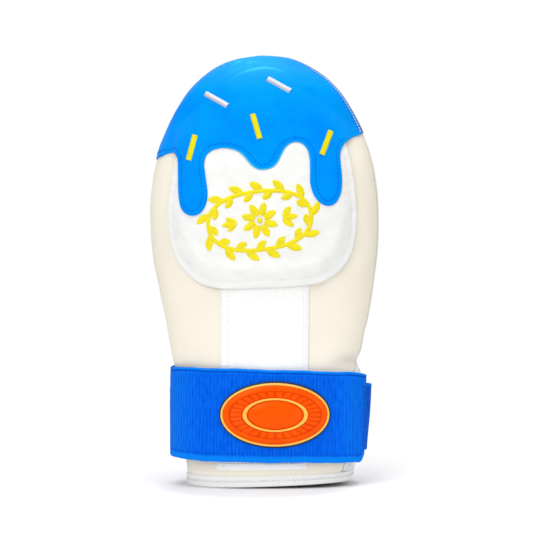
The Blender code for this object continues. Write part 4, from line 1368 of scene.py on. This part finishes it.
def tab():
    at, value, normal = band(TAB, 200)
    high = value[:, 3] - value[:, 2]
    middle = (value[:, 2] + value[:, 3]) / 2
    tail = np.clip((at - at[-1] + 12.0) / 12.0, 0, 1)
    half = high / 2 * (1 - 0.42 * (1 - np.sqrt(1 - tail**2)))
    value[:, 2], value[:, 3] = middle - half, middle + half
    across = np.concatenate([[0, 0.008, 0.02], np.linspace(0.04, 0.96, 28), [0.98, 0.992, 1.0]])
    from_low = across[:, None] * (2 * half)[None, :]
    from_top = (1 - across)[:, None] * (2 * half)[None, :]
    edge = np.minimum(np.minimum(from_low, from_top), at[-1] - at[None, :])
    rounding = 0.5 * (1 - np.sqrt(np.clip(1 - (1 - np.clip(edge / 0.6, 0, 1)) ** 2, 0, 1)))
    p2 = np.stack([np.broadcast_to(at, from_low.shape), from_low], axis=-1)
    seam = -0.22 * hill(edge - 3.0, 0.5)
    sway = 0.2 * waves(p2, 26.0, 52)
    outer = band_grid(value, normal, -1, across, TAB_THICK + seam - rounding + sway + 0.08 * waves(p2, 3.0, 51))
    inner = band_grid(value, normal, -1, across, rounding + sway)
    points, quads, within = shell(outer, inner)
    cloth = p2.reshape(-1, 2)
    shade = (0.5 * (1 - eased((edge - 1.4) / 0.5))).ravel()
    piece = make("hook_tab", points, quads, TAB_CLOTH, cloth=np.concatenate([cloth, cloth]),
                 shade=np.concatenate([shade, shade]), angle=60)
    settle(piece, "tab_hook", "strap_tab")
    index = np.arange(outer.shape[0] * outer.shape[1]).reshape(outer.shape[:2])
    return Skin(outer.reshape(-1, 3), quads_of(index)), at, value, normal


# Height of the badge above the strap by distance in from its outline.
# name, distance, height, finish (0 edge, 1 rim, 2 field)
BADGE = (
    ("foot", 0.0, 0.0, 0),
    ("foot_side", 0.02, 0.55, 0),
    ("foot_top", 0.35, 0.85, 0),
    ("foot_flat", 1.05, 0.90, 0),
    ("rim_out", 1.15, 1.70, 1),
    ("rim_shoulder", 1.40, 2.15, 1),
    ("rim_crest", 1.90, 2.36, 1),
    ("rim_in_shoulder", 2.40, 2.15, 1),
    ("rim_in", 2.65, 1.65, 1),
    ("field_foot", 2.75, 1.50, 2),
    ("field_rise", 3.0, 2.10, 2),
    ("field_edge", 3.5, 2.55, 2),
    ("field_1", 4.4, 2.80, 2),
    ("field_2", 5.6, 2.95, 2),
)


def heights_of(rows, last):
    """1 for the rows of the field, 0 for those of the rim."""
    return np.array([float(row[0] == last) for row in rows])[:, None]


# How far out from the middle the rows of the field lie, as shares of its outline.
FIELD = np.concatenate([[0.965, 0.955, 0.94, 0.925, 0.90, 0.87, 0.84, 0.81, 0.78, 0.755, 0.74, 0.725, 0.712, 0.704, 0.696, 0.686,
                         0.680, 0.672, 0.660, 0.640, 0.620, 0.608, 0.600, 0.594, 0.586, 0.578, 0.572, 0.560, 0.54],
                        np.linspace(0.51, 0.0, 16)])


def badge(strap_table):
    """An oval moulded badge on the front of the strap: dark edge, gold rim, beaded band, gold ring, domed middle."""
    at, value, normal = strap_table
    front_half = at < at[-1] * 0.5
    middle = float(np.interp(-BADGE_X, -value[front_half, 0], at[front_half]))
    turns = 336
    turn = 2 * math.pi * np.arange(turns) / turns
    rows = [(row[1], row[2], 1.0) for row in BADGE]
    last = BADGE[-1][1]
    for share in FIELD:
        rows.append((last, 2.95 + 0.35 * (1 - share**2), share))
    heights, points = [], []
    for d, h, share in rows:
        a, b = (BADGE_HALF_WIDE - d) * share, (BADGE_HALF_HIGH - d) * share
        along = middle - a * np.cos(turn)
        z = BADGE_Z + b * np.sin(turn)
        height = np.full(turns, h)
        if d == last:
            beads = 0.42 * (np.abs(np.cos(15 * turn)) ** 0.7 - 0.55) * eased((share - 0.71) / 0.03) * eased((0.955 - share) / 0.03)
            ring = 0.50 * eased((0.045 - abs(share - 0.64)) / 0.02)
            boss = 1.7 * max(0.0, 1 - (share / 0.575) ** 2) ** 0.75
            height = height + beads + ring + boss - 0.35 * hill(share - 0.58, 0.012) - 0.3 * hill(share - 0.70, 0.012)
        base = np.stack([np.interp(along, at, value[:, i]) for i in (0, 1)], axis=1)
        out = unit(np.stack([np.interp(along, at, normal[:, i]) for i in (0, 1)], axis=1))
        xy = base + out * (STRAP_THICK + 0.12 + height)[:, None]
        points.append(np.column_stack([xy, z]))
    grid = np.stack(points)
    index = np.arange(grid.shape[0] * turns).reshape(grid.shape[0], turns)
    quads = quads_of(index, ring=True)[:, ::-1]
    kinds = np.repeat([max(BADGE[min(i, len(BADGE) - 1)][3], BADGE[min(i + 1, len(BADGE) - 1)][3]) for i in range(grid.shape[0] - 1)], turns)
    kinds[: turns * 3] = 0
    for i, (d, h, share) in enumerate(rows[:-1]):
        if 0.60 < (share + rows[i + 1][2]) / 2 < 0.68:
            kinds[i * turns : (i + 1) * turns] = 1
    foot = grid[0].mean(0)
    foot[1] = grid[0][:, 1].mean()
    back = np.stack([index[0], np.roll(index[0], -1), np.full(turns, grid.shape[0] * turns)], axis=1)
    points = np.concatenate([grid.reshape(-1, 3), foot[None]])
    beaded = np.array([eased((row[2] - 0.71) / 0.03) * eased((0.955 - row[2]) / 0.03) * (row[0] == last) for row in rows])
    hollows = np.array([hill(row[2] - 0.58, 0.014) + hill(row[2] - 0.70, 0.014) + hill(row[2] - 0.955, 0.02) for row in rows])
    # painted shade: the badge is drawn darker between the beads and in the field's hollows
    groove = 0.8 * beaded[:, None] * (1 - np.abs(np.cos(15 * turn)))[None, :] ** 1.5 + 0.8 * np.clip(hollows, 0, 1)[:, None] * (heights_of(rows, last))
    shade = np.append(np.clip(groove, 0, 1).ravel(), 0.0)
    cloth = points[:, [0, 2]]
    piece = make("badge", points, [quads, back], [NAVY, GOLD, RUBBER], cloth=cloth, shade=shade,
                 kinds=np.concatenate([kinds, np.zeros(turns, int)]), weld=True, angle=62)
    settle(piece, "badge_rubber", "strap_badge")


# ---- stitching ----------------------------------------------------------------------------------------------------


def on_front(q, lift=0.0):
    share, s = unflat(q)
    p, n = base_front(share, s)
    return p + n * lift


def inset(flat, tree, d, closed, step=0.4):
    """A line at a set distance to the left of a path in the unrolled side."""
    fine = resample(flat, step=0.25, closed=closed)
    along = np.roll(fine, -1, axis=0) - np.roll(fine, 1, axis=0)
    if not closed:
        along[0], along[-1] = fine[1] - fine[0], fine[-1] - fine[-2]
    along = unit(along)
    p = fine + np.stack([-along[:, 1], along[:, 0]], axis=1) * d
    p = p[distance(p, tree) > d - 0.05]
    return resample(p, step=step, closed=closed)


def beside_outline(skin, inwards, low=230.5, high=273.0):
    """A line on a skin a set distance inside its right-hand outline as seen from the front."""
    outline = []
    for z in np.arange(low, high, 0.6):
        value = smooth(KNOTS, ROWS, s_at(z))[0]
        on, off = value[1] + value[2] - 9.0, value[1] + value[2] + 6.0
        for _ in range(14):
            x = (on + off) / 2
            hit = skin.tree.ray_cast(Vector((x, -200.0, z)), Vector((0, 1, 0)))
            on, off = (x, off) if hit[0] is not None else (on, x)
        outline.append((on, z))
    outline = resample(np.array(outline), step=0.5)
    along = unit(np.gradient(outline, axis=0))
    line = outline + np.stack([-along[:, 1], along[:, 0]], axis=1) * inwards
    p = skin.seen(line)[0]
    even = np.ones(9) / 9
    deep = np.convolve(np.concatenate([np.full(4, p[0, 1]), p[:, 1], np.full(4, p[-1, 1])]), even, "valid")
    return np.stack([p[:, 0], deep, p[:, 2]], axis=1)


def cap_stitches(skin):
    line = inset(CAP_FLAT, CAP_TREE, CAP_SEAM, closed=False)
    share, s = unflat(line)
    line = line[(share > 0.02) & (on_front(line)[:, 0] < 50.5)]
    path = on_front(line, 6.0)
    path = skin.near(path)[0]
    threads = Threads()
    p, n = stitch_row(skin, path, pitch=2.3, length=1.35, lift=0.16, sink=0.45, jitter=0.05, seed=61)
    threads.add(p, n, 0.24, shade=np.random.default_rng(62).uniform(0, 0.4, len(p)))
    line = beside_outline(skin, 2.2)
    p, n = stitch_row(skin, line, pitch=2.1, length=1.0, lift=0.14, sink=0.4, start=1.05, jitter=0.05, seed=65)
    threads.add(p, n, 0.27, shade=np.random.default_rng(66).uniform(0, 0.4, len(p)))
    settle(threads.mesh("cap_stitching", CAP_THREAD), "thread_blue")


def flap_stitches(skin):
    line = inset(PAD_FLAT, PAD_TREE, PAD_SEAM, closed=True)
    line = line[cap_reach(line) < 1.0]
    gaps = np.linalg.norm(np.diff(line, axis=0), axis=1)
    cut = int(np.argmax(gaps)) + 1 if gaps.max() > 3 else 0
    line = np.concatenate([line[cut:], line[:cut]])
    path = skin.near(on_front(line, 4.0))[0]
    threads = Threads()
    p, n = stitch_row(skin, path, pitch=2.55, length=1.7, lift=0.05, sink=0.4, jitter=0.12, seed=63)
    keep = np.linalg.norm(p[:, -1] - p[:, 0], axis=1) < 3.0
    p, n = p[keep], n[keep]
    threads.add(p, n, 0.17, shade=np.random.default_rng(64).uniform(0.0, 0.35, len(p)))
    settle(threads.mesh("flap_stitching", WHITE_THREAD), "thread_white")


def strip_stitches(skin, left, right, rows):
    threads = Threads()

    def line(x, low=12.5, high=132.0):
        z = np.arange(low, high, 0.5)
        edge = np.interp(z, rows, x)
        return skin.seen(np.stack([edge, z], axis=1))[0]

    for offset, seed in ((0.9, 71), (4.6, 72)):
        p, n = stitch_row(skin, line(left + offset), pitch=2.6, length=1.7, lift=0.12, sink=0.35, jitter=0.1, seed=seed)
        threads.add(p, n, 0.20, shade=np.random.default_rng(seed).uniform(0.1, 0.7, len(p)))
    for offset in (1.6, 3.4):
        p, n = zigzag(skin, line(right - offset), 2.1, 1.3, 0.05, 0.25)
        threads.add(p, n, 0.12, shade=np.random.default_rng(73).uniform(0.0, 0.1, len(p)))
    x = np.arange(float(np.interp(15.6, rows, left)) + 1.2, float(np.interp(15.6, rows, right)) - 1.0, 0.5)
    path = skin.seen(np.stack([x, np.full_like(x, 15.4)], axis=1))[0]
    p, n = stitch_row(skin, path, pitch=2.4, length=1.6, lift=0.14, sink=0.35, jitter=0.1, seed=74)
    threads.add(p, n, 0.20, shade=np.random.default_rng(75).uniform(0.3, 0.9, len(p)))
    settle(threads.mesh("strip_stitching", WHITE_THREAD), "thread_white")


def binding_stitches(skin, outer):
    threads = Threads()
    line = outer[4]
    path = np.concatenate([line, line[:1]])
    p, n = zigzag(skin, resample(path, step=0.4), 1.5, 1.7, 0.09, 0.25)
    threads.add(p, n, 0.17, shade=np.random.default_rng(81).uniform(0.3, 1.0, len(p)))
    settle(threads.mesh("binding_stitching", WHITE_THREAD), "thread_white")


def round_seam(angle, sense, s, across):
    """Points and normals of the shell beside a side seam: across is millimetres from it, towards the palm."""
    angle = angle + 0 * s
    p, n = body(angle, s)
    degree = np.linalg.norm(body(angle + sense, s)[0] - p, axis=1)
    at = angle[:, None] + sense * across[None, :] / np.maximum(degree, 0.02)[:, None]
    return body(at, np.broadcast_to(s[:, None], at.shape))


def seam_stitches(cap_skin):
    """Overlock threads in the side seams, and the topstitching beside the right one."""
    white, grey, pale = Threads(), Threads(), Threads()
    for left, sense, low, hem, seed in ((True, -1.0, 10.0, HEM_LEFT, 91), (False, 1.0, GUSSET_TOP - 2.0, HEM_RIGHT, 92)):
        rng = np.random.default_rng(seed)
        s = np.arange(float(s_at(low)), float(s_at(hem)) - 0.4, 1.7)
        across = np.linspace(-0.95, 0.95, 5)
        p, n = round_seam(180.0 if left else seam_side(z_at(s)), sense, s, across)
        p = p + n * (swell(p) - 0.52 - 0.30 * (across / 0.95) ** 2)[..., None]
        # painted shade: the white threads deep in the seam are drawn greyer
        white.add(p, n, 0.17, shade=rng.uniform(0.5, 1.0, len(s)))
        s = np.arange(float(s_at(hem)) + 0.3, TIP - 2.2, 0.62)
        across = np.array([-1.15, -0.85, -0.35, 0.25, 0.85, 1.35, 1.6])
        lift = np.array([0.10, 0.52, 0.80, 0.82, 0.56, 0.05, -0.50])
        p, n = round_seam(180.0 if left else seam_side(z_at(s)), sense, s, across)
        p[:, :, 2] += 0.35 * np.linspace(-1, 1, 7)
        p = p + n * (swell(p) + (lift - 0.55 if left else lift))[..., None]
        grey.add(p, n, 0.27, shade=rng.uniform(0, 0.6, len(s)))
    settle(white.mesh("seam_stitching", WHITE_THREAD), "thread_white")
    settle(grey.mesh("cap_seam_overlock", GREY_THREAD), "thread_grey")
    p, n = stitch_row(cap_skin, beside_outline(cap_skin, 1.3), pitch=2.0, length=1.15, lift=0.22, sink=0.25, jitter=0.05, seed=93)
    pale.add(p, n, 0.36, shade=np.random.default_rng(94).uniform(0, 0.4, len(p)))
    settle(pale.mesh("cap_seam_topstitch", PALE_THREAD), "thread_white")


def strap_stitches(skin, at, value, normal):
    threads = Threads()
    for gone, low, high, seed in ((2.0, 24.5, 66.5, 101), (3.1, 24.5, 66.5, 102)):
        i = float(np.interp(gone, at, np.arange(len(at))))
        j = int(i)
        z = np.arange(low, high, 0.5)
        share = (z - value[j, 2]) / (value[j, 3] - value[j, 2])
        path = band_grid(value[j : j + 1], normal[j : j + 1], 1, share, STRAP_THICK)[:, 0]
        path = skin.near(path)[0]
        if gone < 2.5:
            p, n = zigzag(skin, path, 1.7, 1.5, 0.14, 0.2)
        else:
            p, n = stitch_row(skin, path, pitch=2.9, length=1.5, lift=0.14, sink=0.3, jitter=0.25, seed=seed)
        threads.add(p, n, 0.20 if gone < 2.5 else 0.26, shade=np.random.default_rng(seed).uniform(0, 0.3, len(p)) + (gone > 2.5) * 0.7)
    settle(threads.mesh("band_end_stitching", SKY_THREAD), "thread_blue")


def tab_stitches(skin, at, value, normal):
    threads = Threads()
    corners = []
    for gone in np.linspace(10.0, at[-1] - 3.0, 90):
        corners.append((gone, 0))
    last = corners[-1][0]
    lines = []
    for side in (0, 1):
        path = []
        for gone in np.linspace(9.0, last, 120):
            v = [np.interp(gone, at, value[:, k]) for k in range(5)]
            m = [np.interp(gone, at, normal[:, k]) for k in range(2)]
            z = v[2] + 3.0 if side == 0 else v[3] - 3.0
            share = (z - v[2]) / (v[3] - v[2])
            path.append((v[0] - m[0] * TAB_THICK + v[4] * share, v[1] - m[1] * TAB_THICK, z))
        lines.append(np.array(path))
    end = np.linspace(lines[0][-1], lines[1][-1], 60)
    for path, seed in ((lines[0], 111), (lines[1], 112), (end, 113)):
        path = skin.near(resample(path, step=0.4))[0]
        p, n = stitch_row(skin, path, pitch=2.5, length=1.8, lift=0.12, sink=0.3, jitter=0.08, seed=seed)
        threads.add(p, n, 0.20, shade=np.random.default_rng(seed).uniform(0, 0.6, len(p)))
    settle(threads.mesh("tab_stitching", BLUE_THREAD), "thread_blue")


SKY_THREAD = thread("sky_thread", "strap_edge", "strap_dark", Specular_IOR_Level=0.12, Specular_Tint=(0.3, 0.6, 1.0, 1.0))


# ---- embroidery ---------------------------------------------------------------------------------------------------


def satin(threads, skin, path, half, pitch=0.44, arch=0.5, radius=0.26, slant=0.25, seed=1, stations=6, sides=5, dark=None,
          deep=0.9, start=0.05):
    """Satin stitches across a path of x and z seen from the front; half is half the width along it, dark says which
    way their painted shade lies, deep how dark that painted shade is and start how far out it begins."""
    k = knots_of(path)
    count = max(3, int(k[-1] / pitch))
    at = (np.arange(count) + 0.5) * k[-1] / count
    centre = np.stack([np.interp(at, k, path[:, i]) for i in range(2)], axis=1)
    along = unit(np.gradient(centre, axis=0))
    wide = np.interp(at, k, np.broadcast_to(half, (len(path),)))
    rng = np.random.default_rng(seed)
    wide = np.maximum(wide + rng.normal(size=count) * 0.05, 0.12)
    side = np.stack([-along[:, 1], along[:, 0]], axis=1)
    t = np.linspace(-1, 1, stations)
    xz = centre[:, None] + side[:, None] * (wide[:, None] * t)[..., None] + along[:, None] * (slant * wide[:, None] * t)[..., None]
    p, n = skin.seen(xz)
    normal = unit(n.mean(1, keepdims=True) + 0 * n)
    rise = np.minimum(arch, wide * 0.55)[:, None]
    p = p + normal * (rise * (1 - t[None, :] ** 4) - 0.12 * t[None, :] ** 4)[..., None]
    shade = np.repeat(rng.uniform(0, 0.18, count)[:, None], stations, axis=1)
    # painted shade: the stitches on one side of each bar are drawn darker, as if that side faced away from the light
    if dark is not None:
        turned = np.sign(side @ np.asarray(dark, float))[:, None] * t[None, :]
        shade = shade + deep * eased((turned - start) / 0.35)
    threads.add(p, normal, radius, sides=sides, shade=shade)


def bars(skin):
    made = {"white": Threads(), "yellow": Threads()}
    for i, (name, x, z, slope, colour) in enumerate(BARS):
        way = np.array([math.cos(math.radians(slope)), math.sin(math.radians(slope))])
        path = np.array([x, z]) + way * np.linspace(-0.5, 0.5, 60)[:, None] * (BAR_LONG - 0.5)
        # painted shade: the white bars are drawn grey on their lower half, the yellow ones ochre on their left side
        satin(made[colour], skin, path, BAR_WIDE / 2, pitch=0.36, arch=0.55, radius=0.24, slant=0.06, seed=120 + i, stations=9, sides=6,
              **(dict(dark=(0.0, -1.0)) if colour == "white" else dict(dark=(-1.0, 0.0), deep=0.6, start=0.40)))
    settle(made["white"].mesh("bars_white", WHITE_THREAD), "thread_white")
    settle(made["yellow"].mesh("bars_yellow", YELLOW_THREAD), "thread_yellow")


# A leafy oval wreath with a blossom in it and a sprig on each side of that.
WREATH_X = -3.0
WREATH_Z = 171.5
WREATH_HALF_WIDE = 33.0
WREATH_HALF_HIGH = 18.6
WREATH_TURN = 7.0  # degrees
WREATH_LEAVES = 26
BLOSSOM_PETALS = 8


def wreath(skin):
    threads = Threads()
    turn = math.radians(WREATH_TURN)
    spin = np.array([[math.cos(turn), math.sin(turn)], [-math.sin(turn), math.cos(turn)]])
    seed = [200]

    def lay(path, half, **more):
        seed[0] += 1
        satin(threads, skin, np.asarray(path) @ spin + [WREATH_X, WREATH_Z], half, seed=seed[0], **more)

    def leaf(root, heading, long, wide, bend=0.0):
        t = np.linspace(0, 1, 24)
        angle = heading + bend * t
        steps = np.stack([np.cos(angle), np.sin(angle)], axis=1) * long / 23
        path = np.asarray(root) + np.concatenate([[[0, 0]], np.cumsum(steps[:-1], axis=0)])
        lay(path, wide * np.sin(math.pi * np.clip(t * 0.93 + 0.06, 0, 1)) ** 0.7 + 0.12)

    angle = np.linspace(-math.pi / 2, 1.5 * math.pi, 241)
    cos, sin = np.cos(angle), np.sin(angle)
    round_x, round_z = np.sign(cos) * np.abs(cos) ** 0.86, np.sign(sin) * np.abs(sin) ** 0.86
    stem = np.stack([WREATH_HALF_WIDE * round_x, WREATH_HALF_HIGH * round_z], axis=1)
    stem = resample(stem, count=241)
    lay(stem, 1.2)
    slope = unit(np.gradient(stem, axis=0))
    for i in range(WREATH_LEAVES):
        at = int(240 * (i + 0.5) / WREATH_LEAVES)
        heading = math.atan2(slope[at, 1], slope[at, 0])
        out = -1 if i % 2 == 0 else 1
        leaf(stem[at], heading + out * 0.95, 9.4 if out < 0 else 7.8, 2.25, bend=-out * 0.55)
    for i in range(BLOSSOM_PETALS):
        way = 2 * math.pi * (i + 0.5) / BLOSSOM_PETALS
        leaf((3.2 * math.cos(way), 3.2 * math.sin(way)), way, 8.4, 2.3)
    ring = np.linspace(0, 2 * math.pi, 60)
    lay(np.stack([0.95 * np.cos(ring), 0.95 * np.sin(ring)], axis=1), 0.85)
    for side in (0.0, math.pi):
        root = np.array([13.2 * math.cos(side), 0.0])
        for spread, long in ((0.0, 9.0), (0.75, 7.6), (-0.75, 7.6)):
            leaf(root + [1.9 * math.cos(side), 1.0 * np.sign(spread)], side + spread, long, 2.0)
    settle(threads.mesh("wreath_embroidery", GOLDEN_THREAD), "thread_yellow")


# ---- surroundings -------------------------------------------------------------------------------------------------


def surroundings():
    scene = bpy.context.scene
    scene.view_settings.view_transform = "Standard"
    scene.view_settings.look = "None"
    world = bpy.data.worlds.new("studio")
    world.use_nodes = True
    tree = world.node_tree
    soft, backdrop = tree.nodes["Background"], tree.nodes.new("ShaderNodeBackground")
    soft.inputs["Color"].default_value = (1, 1, 1, 1)
    soft.inputs["Strength"].default_value = WORLD_LIGHT
    backdrop.inputs["Color"].default_value = (1, 1, 1, 1)
    seen_by = tree.nodes.new("ShaderNodeLightPath")
    both = tree.nodes.new("ShaderNodeMixShader")
    tree.links.new(seen_by.outputs["Is Camera Ray"], both.inputs[0])
    tree.links.new(soft.outputs[0], both.inputs[1])
    tree.links.new(backdrop.outputs[0], both.inputs[2])
    tree.links.new(both.outputs[0], tree.nodes["World Output"].inputs["Surface"])
    scene.world = world

    mesh = bpy.data.meshes.new("floor")
    around = [(FLOOR_RADIUS * math.cos(math.pi * i / 48), FLOOR_RADIUS * math.sin(math.pi * i / 48), 0) for i in range(96)]
    mesh.from_pydata(around, [], [tuple(range(96))])
    f = Finish("pale_floor", Specular_IOR_Level=0.0)
    speck = f.noise(8.0, 2.0)
    # The floor is drawn darker round the mitt's foot, so its contact shadow shows, and lighter further out, which
    # washes out the shadow the mitt casts: painted shade and painted light on the floor.
    away = f.node("ShaderNodeVectorMath", operation="LENGTH")
    f.put(away.inputs[0], f.vector("MULTIPLY", f.vector("ADD", f.mm, (7.0, 22.0, 0.0)), (1.55, 1.75, 0.0)))
    near = f.mix(speck, (0.772, 0.772, 0.772, 1.0), (0.764, 0.764, 0.764, 1.0))
    further = f.mix(speck, (0.97, 0.97, 0.97, 1.0), (0.96, 0.96, 0.96, 1.0))
    colour = f.mix(f.range(away.outputs["Value"], 76.0, 108.0), near, further)
    f.done(colour, f.range(speck, 0.3, 0.7, 0.85, 0.95), f.relief(speck, 0.01))
    mesh.materials.append(f.material)
    floor = bpy.data.objects.new("floor", mesh)
    scene.collection.objects.link(floor)

    for name, where, aim, power, wide in LAMPS:
        data = bpy.data.lights.new(name, "AREA")
        data.energy, data.shape, data.size = power, "SQUARE", wide
        light = bpy.data.objects.new(name, data)
        light.location = where
        light.rotation_euler = (Vector(aim) - Vector(where)).to_track_quat("-Z", "Y").to_euler()
        scene.collection.objects.link(light)

    data = bpy.data.cameras.new("camera")
    data.lens, data.sensor_width, data.sensor_fit = 116.2, 36.0, "HORIZONTAL"
    camera = bpy.data.objects.new("camera", data)
    camera.location = tuple((np.array([1.98, -1140.0, 141.6]) + SHIFT) * MM)
    camera.rotation_euler = (math.pi / 2, 0, 0)
    scene.collection.objects.link(camera)
    scene.camera = camera


surroundings()
made = shells()
gusset()
flap_skin = flap()
cap_skin = cap()
strip_skin, strip_left, strip_right, strip_rows = strip()
rim_skin, rim_outer = binding()
strap_skin, *strap_table = strap()
tab_skin, *tab_table = tab()
badge(strap_table)
cap_stitches(cap_skin)
flap_stitches(flap_skin)
strip_stitches(strip_skin, strip_left, strip_right, strip_rows)
binding_stitches(rim_skin, rim_outer)
seam_stitches(cap_skin)
strap_stitches(strap_skin, *strap_table)
tab_stitches(tab_skin, *tab_table)
bars(cap_skin)
wreath(flap_skin)
